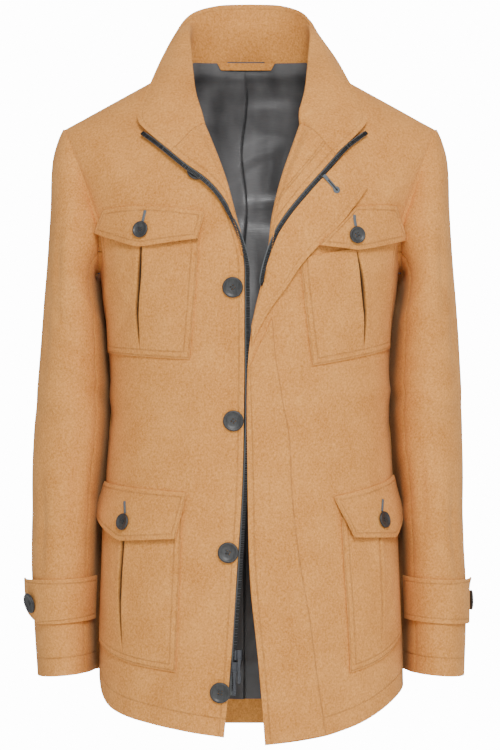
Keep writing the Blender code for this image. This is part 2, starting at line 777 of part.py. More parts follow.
def lapel_point(side, table, zip_table, u, v):
    """Across the turned facing (u, roll to zip) and down it (v)."""
    rows = stations(table, (0, 1))
    station = v * (len(table) - 1)
    roll_z = smooth(rows, 1, station)
    roll_x = front_edge(side, roll_z)
    edge_x, edge_z, edge_out = beside_zip(zip_table, smooth(rows, 2, station), -side * ZIP_MARGIN)
    width = math.hypot(edge_x - roll_x, edge_z - roll_z)
    fullness = min(width / LAPEL_FULL_WIDTH, 1.0)
    crown = mix(ROLL_OUT, FACING_OUT, fullness)
    if u < LAPEL_CROWN:
        out = mix(ROLL_OUT, crown, ease(u / LAPEL_CROWN))
    else:
        out = mix(crown, edge_out, ease((u - LAPEL_CROWN) / (1 - LAPEL_CROWN)))
    return torso_point(mix(roll_x, edge_x, u), mix(roll_z, edge_z, u), out)


def make_facing(name, side, table, zip_table, material, collection):
    def place(u, v):
        return lapel_point(side, table, zip_table, u, v)

    return cloth(name, FACING_COLUMNS, 2 * (len(table) - 1), place, DOUBLE_WALL, material, collection)


def make_zip(name, table, material, collection):
    def place(u, v):
        x, z, out = beside_zip(table, v * (len(table) - 1), mix(-ZIP_HALF, ZIP_HALF, u))
        return torso_point(x, z, out)

    return cloth(name, 1, 2 * (len(table) - 1), place, TAPE_WALL, material, collection)


def make_strip(name, table, columns, wall, material, collection):
    """A strip between an inner and an outer line, both laid on the front."""
    rows = stations(table, range(5))

    def place(u, v):
        station = v * (len(table) - 1)
        x1, z1, x2, z2, out = (smooth(rows, c, station) for c in range(1, 6))
        return torso_point(mix(x1, x2, u), mix(z1, z2, u), out)

    return cloth(name, columns, 2 * (len(table) - 1), place, wall, material, collection)


# --- Pockets ---------------------------------------------------------------------------------

def round_the_body(x, z):
    """The share of the way round from centre front to side seam, for an x at a height."""
    return math.asin(min(abs(x) / half_width(x, z), 1.0) ** (FRONT_ROUND / 2)) / (math.pi / 2)


def on_front(side, share, z, out):
    reach = math.sin(min(share, 1.0) * math.pi / 2) ** (2 / FRONT_ROUND)
    return torso_point(side * half_width(side, z) * reach, z, out)


def patch_point(corners, u, v, out, extra_z=0.0):
    """u from the inner to the outer side, v from the foot to the top, followed round the body."""
    side = -1 if corners["top_in"][0] < 0 else 1
    share = {}
    for key in ("top_in", "top_out", "bottom_in", "bottom_out"):
        share[key] = round_the_body(*corners[key])
    low = mix(share["bottom_in"], share["bottom_out"], u)
    high = mix(share["top_in"], share["top_out"], u)
    low_z = mix(corners["bottom_in"][1], corners["bottom_out"][1], u)
    high_z = mix(corners["top_in"][1], corners["top_out"][1], u)
    return on_front(side, mix(low, high, v), mix(low_z, high_z, v) + extra_z * (1 - v), out)


def pleat_columns(pleat):
    """Column places across a pocket, with the pleat's groove between two close columns."""
    steps = [i / (POCKET_COLUMNS - 1) for i in range(POCKET_COLUMNS)]
    left = [mix(0.0, pleat - PLEAT_HALF, step) for step in steps]
    right = [mix(pleat + PLEAT_HALF, 1.0, step) for step in steps]
    return left + [pleat] + right


def make_pocket(name, corners, material, collection):
    columns = 2 * POCKET_COLUMNS

    def place(u, v):
        pleat = mix(corners["pleat"][1], corners["pleat"][0], v)
        column = round(u * columns)
        across = min(max(pleat_columns(pleat)[column], 0.0), 1.0)
        swell = math.sin(math.pi * across) * math.sin(math.pi * v) ** 0.7
        bulge = POCKET_BULGE * swell * ease(v / 0.4)
        out = POCKET_OUT + bulge
        if column == POCKET_COLUMNS:
            out -= min(bulge, PLEAT_DEPTH)
        dip = corners["dip"] * math.sin(math.pi * across)
        return patch_point(corners, across, v, out, dip)

    return cloth(name, columns, POCKET_ROWS, place, PATCH_WALL, material, collection)


def flap_point(corners, u, v, out_more=0.0):
    point_u, point_z = corners["point"]
    towards = u / point_u if u < point_u else (1 - u) / (1 - point_u)
    hang = ease(1 - v)
    out = mix(FLAP_OUT_TOP, FLAP_OUT_FOOT, hang) + out_more
    return patch_point(corners, u, v, out, point_z * towards)


def make_flap(name, corners, material, collection):
    def place(u, v):
        return flap_point(corners, u, v)

    return cloth(name, *FLAP_GRID, place, PATCH_WALL, material, collection)


# --- Buttons, sliders, tabs and loop -------------------------------------------------------------

def button_profile(diameter):
    """A dished button with a raised, rounded rim."""
    radius = diameter / 2
    top = BUTTON_THICK
    return [
        (0.0, top * 0.62),
        (radius * 0.66, top * 0.62),
        (radius * 0.80, top),
        (radius * 0.94, top * 0.92),
        (radius, top * 0.52),
        (radius * 0.88, 0.0),
        (0.0, 0.0),
    ]


def place_on(obj, point, normal):
    obj.location = point
    obj.rotation_euler = Vector(normal).to_track_quat("Z", "Y").to_euler()


def torso_normal(x, z):
    return (torso_point(x, z, 0.01) - torso_point(x, z)).normalized()


def make_button(name, diameter, point, normal, material, collection):
    obj = turned(name, button_profile(diameter), ROUND_STEPS, material, collection)
    place_on(obj, point, normal)
    return obj


def make_front_buttons(material, collection):
    for number, (x, z) in enumerate(FRONT_BUTTONS, start=1):
        name = f"front_button_{number}"
        point = torso_point(x, z, FRONT_BUTTON_OUT)
        make_button(name, FRONT_BUTTON, point, torso_normal(x, z), material, collection)


def flap_spot(corners, x, z):
    """The place on a flap that lies over x and height z, found by halving both ways."""
    low_u, high_u, low_v, high_v = 0.0, 1.0, 0.0, 1.0
    for _ in range(30):
        u = (low_u + high_u) / 2
        v = (low_v + high_v) / 2
        point = flap_point(corners, u, v)
        if abs(point.x) < abs(x):
            low_u = u
        else:
            high_u = u
        if point.z < z:
            low_v = v
        else:
            high_v = v
    return u, v


def make_pocket_buttons(material, collection):
    for name, (x, z) in POCKET_BUTTONS.items():
        corners = FLAPS[name.replace("button", "flap")]
        u, v = flap_spot(corners, x, z)
        point = flap_point(corners, u, v)
        across = flap_point(corners, u + 0.05, v) - flap_point(corners, u - 0.05, v)
        up = flap_point(corners, u, v + 0.1) - flap_point(corners, u, v - 0.1)
        normal = across.cross(up).normalized()
        if normal.y > 0:
            normal = -normal
        lift = PATCH_WALL / 2 + BUTTON_LIFT
        make_button(name, POCKET_BUTTON, point + normal * lift, normal, material, collection)


def make_cuff_buttons(material, collection):
    for side_name, side in (("right", -1), ("left", 1)):
        angle = CUFF_BUTTON_ANGLE[side_name]
        out = strap_out(angle)
        point = sleeve_point(side, angle, CUFF_BUTTON_DROP, out)
        around = sleeve_point(side, angle + 4, CUFF_BUTTON_DROP, out)
        around -= sleeve_point(side, angle - 4, CUFF_BUTTON_DROP, out)
        up = sleeve_point(side, angle, CUFF_BUTTON_DROP - 0.01, out) - point
        normal = around.cross(up).normalized()
        if normal.x * side < 0:
            normal = -normal
        lift = PATCH_WALL / 2 + CUFF_BUTTON_LIFT
        name = f"cuff_button_{side_name}"
        make_button(name, POCKET_BUTTON, point + normal * lift, normal, material, collection)


def make_slider(name, x, z, tab_x, material, collection):
    """A block with two cheeks that hold the tab's upper end, cut as one U-shaped outline."""
    half = SLIDER_WIDTH / 2
    slot = TAB_WIDTH / 2 + SEAM_GAP
    offset = tab_x - x
    points = [
        (-half, SLIDER_BACK),
        (half, SLIDER_BACK),
        (half, SLIDER_FACE),
        (offset + slot + CHEEK_WALL, SLIDER_FACE),
        (offset + slot + CHEEK_WALL, CHEEK_FACE),
        (offset + slot, CHEEK_FACE),
        (offset + slot, SLIDER_FACE),
        (offset - slot, SLIDER_FACE),
        (offset - slot, CHEEK_FACE),
        (offset - slot - CHEEK_WALL, CHEEK_FACE),
        (offset - slot - CHEEK_WALL, SLIDER_FACE),
        (-half, SLIDER_FACE),
    ]
    outward_is_front = [(px, -py) for px, py in points]
    obj = outline_prism(name, outward_is_front, SLIDER_HEIGHT, material, collection)
    obj.location = (x, torso_y(x, z, False), z)
    return obj


def make_pull_tab(name, tab_x, slider_z, material, collection):
    """A flat tab with a rounded, wider foot. Its origin is on its hinge axis."""
    hinge_z = slider_z - SLIDER_HEIGHT / 2 + HINGE_UP
    surface = torso_point(tab_x, hinge_z)
    half = TAB_WIDTH / 2
    right = [(half * share, height) for share, height in TAB_SIDE]
    left = [(-x, height) for x, height in reversed(right)]
    turns = [math.radians(angle) for angle in range(90, -91, -30)]
    foot = [(half * math.sin(turn), half * (1 - math.cos(turn)) - TAB_LENGTH) for turn in turns]
    points = right + foot + left
    obj = outline_prism(name, points, TAB_THICK, material, collection)
    obj.rotation_euler = (math.pi / 2, 0.0, 0.0)
    obj.location = (tab_x, surface.y - TAB_OUT, hinge_z)
    return obj


def make_hanger_loop(material, collection):
    """A strip whose two ends are sewn in at the back neck, standing just clear of the back."""
    def place(u, v):
        spread = mix(LOOP_FOOT_SHARE, 1.0, v)
        middle = (LOOP_RIGHT + LOOP_LEFT) / 2
        x = middle + (mix(LOOP_RIGHT, LOOP_LEFT, u) - middle) * spread
        wall = torso_point(x, NECK_TOP, -LOOP_IN, back=True)
        return Vector((x, wall.y, mix(LOOP_FOOT, LOOP_TOP, v)))

    return cloth("hanger_loop", *LOOP_GRID, place, TAPE_WALL, material, collection)


def main():
    clear_scene()
    jacket = bpy.data.collections.new("Field jacket")
    bpy.context.scene.collection.children.link(jacket)

    def wool(name, shade="wool"):
        return make_material(f"{name} wool", COLORS[shade], 0.95)

    make_front("front_right", -1, wool("Front right"), jacket)
    make_front("front_left", 1, wool("Front left"), jacket)
    make_back("back_right", -1, wool("Back right"), jacket)
    make_back("back_left", 1, wool("Back left"), jacket)
    make_back_lining(make_material("Back lining satin", COLORS["satin"], 0.4), jacket)

    for side_name, side in (("right", -1), ("left", 1)):
        top = (UNDER_SEAM_BACK - 360, UNDER_SEAM_FRONT)
        under = (UNDER_SEAM_FRONT, UNDER_SEAM_BACK)
        material = wool(f"Sleeve {side_name}")
        make_sleeve_piece(f"sleeve_top_{side_name}", side, *top, TOP_SLEEVE_GRID, material, jacket)
        material = wool(f"Under sleeve {side_name}", "wool_shade")
        make_sleeve_piece(f"sleeve_under_{side_name}", side, *under, UNDER_SLEEVE_GRID, material, jacket)
        make_cuff_strap(f"cuff_strap_{side_name}", side, wool(f"Cuff strap {side_name}"), jacket)

    make_collar(wool("Collar", "wool_light"), jacket)
    make_facing("facing_right", -1, LAPEL_RIGHT, ZIP_RIGHT, wool("Facing right", "wool_light"), jacket)
    make_facing("facing_left", 1, LAPEL_LEFT, ZIP_LEFT, wool("Facing left", "wool_light"), jacket)
    make_strip("placket", PLACKET, PLACKET_COLUMNS, DOUBLE_WALL, wool("Placket", "wool_light"), jacket)
    make_strip("fly", FLY, FLY_COLUMNS, PATCH_WALL, wool("Fly"), jacket)
    make_zip("zip_right", ZIP_RIGHT, make_material("Zip right", COLORS["zip"], 0.5), jacket)
    make_zip("zip_left", ZIP_LEFT, make_material("Zip left", COLORS["zip"], 0.5), jacket)

    for name, corners in POCKETS.items():
        make_pocket(name, corners, wool(name.replace("_", " ").capitalize()), jacket)
    for name, corners in FLAPS.items():
        make_flap(name, corners, wool(name.replace("_", " ").capitalize(), "wool_light"), jacket)

    horn = make_material("Button horn", COLORS["horn"], 0.35)
    make_front_buttons(horn, jacket)
    make_pocket_buttons(horn, jacket)
    make_cuff_buttons(horn, jacket)

    metal = make_material("Zip metal", COLORS["metal"], 0.3, 1.0)
    for place_name, (x, z, tab_x) in SLIDERS.items():
        make_slider(f"slider_{place_name}", x, z, tab_x, metal, jacket)
        make_pull_tab(f"pull_{place_name}", tab_x, z, metal, jacket)
    make_hanger_loop(wool("Hanger loop"), jacket)


main()
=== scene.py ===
import math
from bisect import bisect_right

import bmesh
import bpy
from mathutils import Matrix, Vector


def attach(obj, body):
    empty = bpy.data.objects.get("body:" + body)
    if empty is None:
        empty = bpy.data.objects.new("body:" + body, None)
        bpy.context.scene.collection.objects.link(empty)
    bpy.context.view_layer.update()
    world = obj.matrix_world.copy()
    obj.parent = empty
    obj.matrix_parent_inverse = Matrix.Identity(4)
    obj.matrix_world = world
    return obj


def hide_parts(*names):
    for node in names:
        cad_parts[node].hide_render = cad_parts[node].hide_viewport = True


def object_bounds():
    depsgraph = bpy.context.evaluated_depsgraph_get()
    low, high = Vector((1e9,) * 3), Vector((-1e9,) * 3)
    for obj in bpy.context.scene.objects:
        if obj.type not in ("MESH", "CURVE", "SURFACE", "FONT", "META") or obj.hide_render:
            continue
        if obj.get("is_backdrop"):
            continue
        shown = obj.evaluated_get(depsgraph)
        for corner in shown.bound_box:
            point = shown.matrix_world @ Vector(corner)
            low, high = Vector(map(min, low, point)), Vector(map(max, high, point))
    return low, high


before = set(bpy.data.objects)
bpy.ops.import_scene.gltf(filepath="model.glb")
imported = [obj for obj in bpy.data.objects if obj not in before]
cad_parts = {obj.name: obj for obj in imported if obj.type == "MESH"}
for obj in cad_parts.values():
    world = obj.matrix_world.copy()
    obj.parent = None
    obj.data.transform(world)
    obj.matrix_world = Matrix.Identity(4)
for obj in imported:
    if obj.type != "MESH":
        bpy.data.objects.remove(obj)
cad_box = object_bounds()


# ---- Fronts ----------------------------------------------------------------------------------
# Two fronts of thick felted wool, lined with satin, faced with wool along the edge and the hem.
# Each is cut in one piece from shoulder to hem and filled out over the chest, so its form is a
# torso's: half widths and depths at a few heights, rounded across and up to the shoulder.

SHOULDER_DROP = 0.077       # shoulder point below the neck
NECK_HALF = 0.084
NECK_TOP = -0.004
CHEST = -0.200
UNDERARM = -0.252
SIDE_Y = 0.006              # side and shoulder seams lie in this plane
SEAM = 0.0003
HEM_LIFT_START = -0.600
FRONT_ROUND = 2.3
BACK_ROUND = 2.2
SLOPE = SHOULDER_DROP / (0.226 - NECK_HALF)
WOOL_WALL = 0.0024

BODY = [
    # height, right,  left,   front,  back
    (-0.830, 0.1840, 0.1890, 0.146, 0.124),
    (-0.760, 0.1840, 0.1870, 0.147, 0.125),
    (-0.690, 0.1830, 0.1850, 0.146, 0.122),
    (-0.600, 0.1790, 0.1790, 0.142, 0.112),
    (-0.500, 0.1755, 0.1740, 0.137, 0.098),
    (-0.410, 0.1695, 0.1695, 0.134, 0.090),
    (-0.320, 0.1745, 0.1720, 0.138, 0.098),
    (-0.235, 0.1860, 0.1840, 0.142, 0.112),
    (-0.170, 0.2060, 0.2060, 0.134, 0.118),
    (-0.110, 0.2380, 0.2380, 0.116, 0.120),
    (-0.070, 0.2620, 0.2620, 0.098, 0.118),
    (0.000, 0.3000, 0.3000, 0.066, 0.115),
    (0.060, 0.3200, 0.3200, 0.040, 0.110),
]
FRONT_EDGE = [
    # height, right x, left x: the zip edge below, the roll line above, then the neckline
    (-0.8150, -0.0317, 0.0178),
    (-0.7130, -0.0224, 0.0095),
    (-0.6187, -0.0162, 0.0000),
    (-0.5000, -0.0090, -0.0030),
    (-0.3800, -0.0068, -0.0034),
    (-0.3168, -0.0068, 0.0024),
    (-0.2742, -0.0068, 0.0118),
    (-0.2346, -0.0082, 0.0240),
    (-0.1872, -0.0205, 0.0300),
    (-0.1411, -0.0330, 0.0412),
    (-0.0920, -0.0512, 0.0580),
    (-0.0550, -0.0668, 0.0700),
    (-0.0200, -0.0785, 0.0785),
    (0.0000, -0.0825, 0.0825),
]
ARMHOLE = [
    # height, front x, back x
    (-0.252, 0.1830, 0.1830),
    (-0.235, 0.1805, 0.1830),
    (-0.200, 0.1815, 0.1880),
    (-0.165, 0.1920, 0.1990),
    (-0.120, 0.2085, 0.2130),
    (-0.077, 0.2260, 0.2260),
]
HEM = {
    # height at the centre, height at the side seam
    "front_right": (-0.805, -0.739),
    "front_left": (-0.814, -0.753),
    "back_right": (-0.8126, -0.739),
    "back_left": (-0.8126, -0.753),
}
FOLD_REACH = 2.4            # lengths from its middle at which a fold has died out
# Soft troughs (below zero) and ridges of the filled-out cloth, laid one by one
FRONT_FOLDS = [
    # x, height, degrees from level, length, width, rise
    (-0.150, -0.240, 58, 0.075, 0.011, 0.0026),
    (-0.128, -0.262, 62, 0.060, 0.010, -0.0022),
    (-0.168, -0.400, 15, 0.045, 0.010, 0.0020),
    (-0.140, -0.424, 8, 0.055, 0.010, -0.0020),
    (-0.060, -0.455, 80, 0.120, 0.017, 0.0018),
    (-0.040, -0.630, 84, 0.130, 0.016, -0.0018),
    (-0.070, -0.760, 95, 0.070, 0.018, 0.0024),
    (-0.115, -0.745, 78, 0.075, 0.016, -0.0020),
    (-0.095, -0.110, -28, 0.070, 0.014, 0.0018),
    (-0.150, -0.118, -50, 0.050, 0.012, -0.0018),
    (0.148, -0.238, -57, 0.080, 0.011, 0.0028),
    (0.124, -0.270, -60, 0.060, 0.010, -0.0020),
    (0.166, -0.395, -14, 0.045, 0.010, 0.0022),
    (0.138, -0.432, -8, 0.055, 0.010, -0.0018),
    (0.086, -0.470, 98, 0.120, 0.017, 0.0016),
    (-0.024, -0.375, 88, 0.060, 0.010, -0.0024),
    (0.034, -0.330, 68, 0.060, 0.010, -0.0020),
    (0.072, -0.640, 92, 0.130, 0.018, 0.0018),
    (0.110, -0.755, 84, 0.075, 0.016, -0.0022),
    (0.055, -0.745, 98, 0.070, 0.016, -0.0016),
    (0.150, -0.120, 48, 0.050, 0.012, -0.0018),
    (0.175, -0.150, 62, 0.045, 0.010, 0.0016),
]
BACK_FOLDS = [
    (-0.140, -0.205, 60, 0.080, 0.013, 0.0030),
    (-0.118, -0.232, 64, 0.070, 0.012, -0.0024),
    (0.142, -0.212, -60, 0.080, 0.013, 0.0030),
    (0.116, -0.240, -66, 0.070, 0.012, -0.0024),
    (-0.110, -0.395, 10, 0.080, 0.011, -0.0026),
    (-0.070, -0.420, 6, 0.090, 0.012, 0.0022),
    (0.105, -0.405, -12, 0.080, 0.011, -0.0026),
    (0.060, -0.440, -5, 0.090, 0.012, 0.0020),
    (-0.060, -0.640, 86, 0.150, 0.020, 0.0028),
    (-0.115, -0.690, 82, 0.110, 0.018, -0.0024),
    (0.066, -0.660, 94, 0.150, 0.020, 0.0026),
    (0.122, -0.700, 98, 0.110, 0.018, -0.0024),
    (0.000, -0.060, 0, 0.080, 0.012, -0.0016),
]


def curve(rows, column):
    """Reads one column of a short table on a smooth curve through its rows."""
    keys = [row[0] for row in rows]
    values = [row[column] for row in rows]
    last = len(keys) - 1
    slopes = []
    for i in range(last + 1):
        low, high = max(i - 1, 0), min(i + 1, last)
        slopes.append((values[high] - values[low]) / (keys[high] - keys[low]))

    def read(at):
        at = min(max(at, keys[0]), keys[last])
        i = min(bisect_right(keys, at) - 1, last - 1)
        step = keys[i + 1] - keys[i]
        t = (at - keys[i]) / step
        return ((1 + 2 * t) * (1 - t) ** 2 * values[i] + t * (1 - t) ** 2 * step * slopes[i]
                + t * t * (3 - 2 * t) * values[i + 1] + t * t * (t - 1) * step * slopes[i + 1])

    return read


def mix(a, b, t):
    return a + (b - a) * t


def ease(t):
    t = min(max(t, 0.0), 1.0)
    return t * t * (3 - 2 * t)


def bell(x, width, y=0.0, height=1.0):
    """A soft bump: 1 in its middle, and near 0 two widths away."""
    return math.exp(-(x / width) ** 2 - (y / height) ** 2)


def along_across(dx, dz, degrees):
    """An offset measured along a line that leans by some degrees, and across it."""
    turn = math.radians(degrees)
    return dx * math.cos(turn) + dz * math.sin(turn), -dx * math.sin(turn) + dz * math.cos(turn)


right_half, left_half, front_depth, back_depth = (curve(BODY, column) for column in (1, 2, 3, 4))
right_edge, left_edge = curve(FRONT_EDGE, 1), curve(FRONT_EDGE, 2)
front_armhole, back_armhole = curve(ARMHOLE, 1), curve(ARMHOLE, 2)


def half_width(x, z):
    return right_half(z) if x < 0 else left_half(z)


def front_edge(side, z):
    return right_edge(z) if side < 0 else left_edge(z)


def shoulder_height(x):
    x = abs(x)
    if x >= NECK_HALF:
        return -(x - NECK_HALF) * SLOPE
    return SLOPE * NECK_HALF / 2 * (1 - (x / NECK_HALF) ** 2)


def torso_y(x, z, back):
    """The depth of the torso's cloth: an oval across, that closes over at the shoulder."""
    across = min(abs(x) / half_width(x, z), 1.0)
    up = min(max((z - CHEST) / (shoulder_height(x) - CHEST), 0.0), 1.0)
    if back:
        rounding = (1 - across ** BACK_ROUND) ** (1 / BACK_ROUND)
        return SIDE_Y + SEAM / 2 + back_depth(z) * rounding * (1 - up ** 3) ** (1 / 3)
    rounding = (1 - across ** FRONT_ROUND) ** (1 / FRONT_ROUND)
    return SIDE_Y - SEAM / 2 - front_depth(z) * rounding * (1 - up ** 2.4) ** (1 / 2.4)


def folds_rise(x, z, back):
    """How far the cloth's soft folds lift it at x and height z."""
    rise = 0.0
    for fx, fz, degrees, length, width, height in (BACK_FOLDS if back else FRONT_FOLDS):
        dx, dz = x - fx, z - fz
        if max(abs(dx), abs(dz)) > FOLD_REACH * length:
            continue
        # A fold bends a little, and is wider at one end
        along, across = along_across(dx, dz, degrees)
        across += 0.09 * along * along / length
        wide = width * (1 + 0.35 * along / length)
        rise += height * bell(along, length, across, max(wide, 0.004))
    return rise


def torso_point(x, z, out=0.0, back=False):
    """A point of the torso's cloth at x and height z, moved out along its normal."""
    power = BACK_ROUND if back else FRONT_ROUND
    side = -1 if x < 0 else 1
    angle = math.asin(min(abs(x) / half_width(x, z), 1.0) ** (power / 2))

    def at(turn, height):
        reach = side * half_width(x, height) * abs(math.sin(turn)) ** (2 / power)
        return Vector((reach, torso_y(reach, height, back), height))

    turn = min(max(angle, 0.02), math.pi / 2 - 0.02)
    round_step = at(turn + 0.01, z) - at(turn - 0.01, z)
    up_step = at(turn, z + 0.0005) - at(turn, z - 0.0005)
    normal = round_step.cross(up_step).normalized()
    if normal.y * (1 if back else -1) < 0:
        normal = -normal
    return Vector((x, torso_y(x, z, back), z)) + normal * (out + folds_rise(x, z, back))


def panel_end(side, z, back):
    """Where a panel's row ends: at the side seam, the armhole or the shoulder seam."""
    if z <= UNDERARM + 1e-6:
        return side * half_width(side, z)
    if z < -SHOULDER_DROP:
        return side * min((back_armhole if back else front_armhole)(z), half_width(side, z))
    return side * (NECK_HALF - z / SLOPE)


def panel_height(v, hem):
    """Rows are even below the underarm, crowd round the armhole, then run up the shoulder."""
    row = v * 23
    if row <= 11:
        return mix(hem, UNDERARM, row / 11)
    if row <= 19:
        return mix(UNDERARM, -SHOULDER_DROP, (1 - math.cos(math.pi * (row - 11) / 8)) / 2)
    return mix(-SHOULDER_DROP, NECK_TOP, (row - 19) / 4)


def hem_curve(name, share):
    """How far a hem has curved up, from the centre to the side seam."""
    if name == "front_right":
        return 0.38 * share ** 1.1 + 0.20 * share ** 6 + 0.42 * share ** 26
    if name == "front_left":
        return 0.28 * share + 0.72 * share ** 3.2
    return share ** 3.6


def hem_lift(name, share, z):
    centre, side = HEM[name]
    return (side - centre) * hem_curve(name, share) * ease((HEM_LIFT_START - z) / (HEM_LIFT_START - centre))


def panel_share(u):
    """Columns crowd to a panel's side seam."""
    return math.sin(u * math.pi / 2) ** 0.9


def seam_dip(share):
    """The cloth turns down a little into the seam at a panel's side."""
    return -0.0009 * bell(1 - share, 0.022)


def srgb(code):
    """A hex colour, as linear red, green, blue and alpha."""
    parts = [int(code[i:i + 2], 16) / 255 for i in (0, 2, 4)]
    linear = [c / 12.92 if c <= 0.04045 else ((c + 0.055) / 1.055) ** 2.4 for c in parts]
    return (*linear, 1.0)


def feed(tree, node, inputs):
    """Gives a node its inputs: each is a value, or a socket to link from."""
    for key, value in inputs.items():
        if isinstance(value, bpy.types.NodeSocket):
            tree.links.new(value, node.inputs[key])
        else:
            node.inputs[key].default_value = value


def add(tree, kind, inputs, **settings):
    """Adds a node with its settings and inputs."""
    node = tree.nodes.new(kind)
    for name, value in settings.items():
        setattr(node, name, value)
    feed(tree, node, inputs)
    return node


def new_material(name):
    """An empty material, its node tree and its shader."""
    material = bpy.data.materials.new(name)
    material.use_nodes = True
    return material, material.node_tree, material.node_tree.nodes["Principled BSDF"]


STITCH = 0.0032             # length of a topstitch


def felted_wool(name, rows=(), pull=0.36, shade="b57130", light="e8a457"):
    """Melton: woven wool milled until the nap hides its weave. The eye sees a mottled, matt,
    softly fuzzy camel face. Rows are topstitching sunk in the nap: the edges that each one
    follows, by the letters l, r, b and t, and its distance from them. pull is how far they show:
    how deep their grooves sink and how much painted shade darkens them. Deep folds and gaps get
    painted shade from the fold attribute."""
    material, tree, shader = new_material(name)
    place = add(tree, "ShaderNodeTexCoord", {}).outputs["Object"]
    # Broad clouds of 50 mm, nap clumps of 3 mm, and fibres of 0.8 mm, drawn coarser than real ones
    cloud = add(tree, "ShaderNodeTexNoise", {"Vector": place, "Scale": 24.0, "Detail": 3.0}).outputs[0]
    clump = add(tree, "ShaderNodeTexNoise",
                {"Vector": place, "Scale": 420.0, "Detail": 5.0, "Roughness": 0.62}).outputs[0]
    brushed = add(tree, "ShaderNodeMapping", {"Vector": place, "Rotation": (0.0, 0.25, 0.0),
                                              "Scale": (1.0, 1.0, 0.28)}).outputs[0]
    fibre = add(tree, "ShaderNodeTexNoise",
                {"Vector": brushed, "Scale": 1150.0, "Detail": 3.0, "Roughness": 0.7}).outputs[0]
    nap = add(tree, "ShaderNodeMath", {0: clump, 1: 0.62, 2: 0.0}, operation="MULTIPLY_ADD").outputs[0]
    nap = add(tree, "ShaderNodeMath", {0: fibre, 1: 0.38, 2: nap}, operation="MULTIPLY_ADD").outputs[0]
    tone = add(tree, "ShaderNodeMath", {0: cloud, 1: 0.22, 2: nap}, operation="MULTIPLY_ADD").outputs[0]
    tone = add(tree, "ShaderNodeMapRange",
               {"Value": tone, "From Min": 0.44, "From Max": 0.78}).outputs[0]
    colour = add(tree, "ShaderNodeMix", {0: tone, 6: srgb(shade), 7: srgb(light)},
                 data_type="RGBA").outputs[2]
    height = nap
    if rows:
        edge = add(tree, "ShaderNodeAttribute", {}, attribute_name="edge")
        parts = add(tree, "ShaderNodeSeparateColor", {0: edge.outputs["Color"]}).outputs
        gaps = {"l": parts[0], "r": parts[1], "b": parts[2], "t": edge.outputs["Alpha"]}
        groove = 0.0
        thread = 0.0
        for letters, distance in rows:
            near = []
            for pair in ("lr", "bt"):
                chosen = [gaps[letter] for letter in pair if letter in letters]
                if len(chosen) == 2:
                    chosen = [add(tree, "ShaderNodeMath", {0: chosen[0], 1: chosen[1]},
                                  operation="MINIMUM").outputs[0]]
                near.append(chosen[0] if chosen else None)
            if near[0] and near[1]:
                gap = add(tree, "ShaderNodeMath", {0: near[0], 1: near[1]}, operation="MINIMUM").outputs[0]
                by_side = add(tree, "ShaderNodeMath", {0: near[0], 1: near[1]},
                              operation="LESS_THAN").outputs[0]
                along = add(tree, "ShaderNodeMix", {0: by_side, 2: parts[0], 3: parts[2]}).outputs[0]
            else:
                gap = near[0] or near[1]
                along = parts[2] if near[0] else parts[0]
            # The wool is pulled in on both sides of the thread
            wave = add(tree, "ShaderNodeMath", {0: along, 1: math.tau / STITCH},
                       operation="MULTIPLY").outputs[0]
            wave = add(tree, "ShaderNodeMath", {0: wave}, operation="SINE").outputs[0]
            dash = add(tree, "ShaderNodeMapRange",
                       {"Value": wave, "From Min": -0.75, "From Max": -0.2}).outputs[0]
            off = add(tree, "ShaderNodeMath", {0: gap, 1: distance}, operation="SUBTRACT").outputs[0]
            off = add(tree, "ShaderNodeMath", {0: off}, operation="ABSOLUTE").outputs[0]
            sunk = add(tree, "ShaderNodeMapRange",
                       {"Value": off, "From Max": 0.0016, "To Min": 1.0, "To Max": 0.0},
                       interpolation_type="SMOOTHSTEP").outputs[0]
            groove = add(tree, "ShaderNodeMath", {0: sunk, 1: groove}, operation="MAXIMUM").outputs[0]
            line = add(tree, "ShaderNodeMapRange", {"Value": off, "From Min": 0.00015, "From Max": 0.0005,
                                                    "To Min": 1.0, "To Max": 0.0}).outputs[0]
            line = add(tree, "ShaderNodeMath", {0: line, 1: dash}, operation="MULTIPLY").outputs[0]
            thread = add(tree, "ShaderNodeMath", {0: line, 1: thread}, operation="MAXIMUM").outputs[0]
        # The rows sink in unevenly, more in some places than in others, and their painted shade follows
        pulled = add(tree, "ShaderNodeTexNoise", {"Vector": place, "Scale": 70.0, "Detail": 2.0}).outputs[0]
        pulled = add(tree, "ShaderNodeMapRange", {"Value": pulled, "From Min": 0.35, "From Max": 0.65,
                                                  "To Min": pull / 6, "To Max": pull}).outputs[0]
        # Painted shade in the grooves of the rows
        groove_painted_shade = add(tree, "ShaderNodeMath", {0: groove, 1: pulled}, operation="MULTIPLY").outputs[0]
        colour = add(tree, "ShaderNodeMix", {0: groove_painted_shade, 6: colour, 7: srgb("8a5426")},
                     data_type="RGBA").outputs[2]
        shown = add(tree, "ShaderNodeMath", {0: thread, 1: 0.4}, operation="MULTIPLY").outputs[0]
        colour = add(tree, "ShaderNodeMix", {0: shown, 6: colour, 7: srgb("b97f42")},
                     data_type="RGBA").outputs[2]
        height = add(tree, "ShaderNodeMath", {0: groove, 1: -3.3 * pull, 2: height},
                     operation="MULTIPLY_ADD").outputs[0]
        height = add(tree, "ShaderNodeMath", {0: thread, 1: 0.8, 2: height},
                     operation="MULTIPLY_ADD").outputs[0]
    # Painted shade in deep folds and gaps, from the fold attribute
    painted_fold_shade = add(tree, "ShaderNodeAttribute", {}, attribute_name="fold").outputs["Fac"]
    colour = add(tree, "ShaderNodeMix", {0: painted_fold_shade, 6: colour, 7: srgb("2a180c")},
                 data_type="RGBA").outputs[2]
    bump = add(tree, "ShaderNodeBump", {"Height": height, "Strength": 0.6, "Distance": 0.0010})
    feed(tree, shader, {"Base Color": colour, "Normal": bump.outputs[0], "Roughness": 0.93,
                        "Specular IOR Level": 0.18, "Sheen Weight": 0.18, "Sheen Roughness": 0.55,
                        "Sheen Tint": srgb("f0cfa0")})
    return material


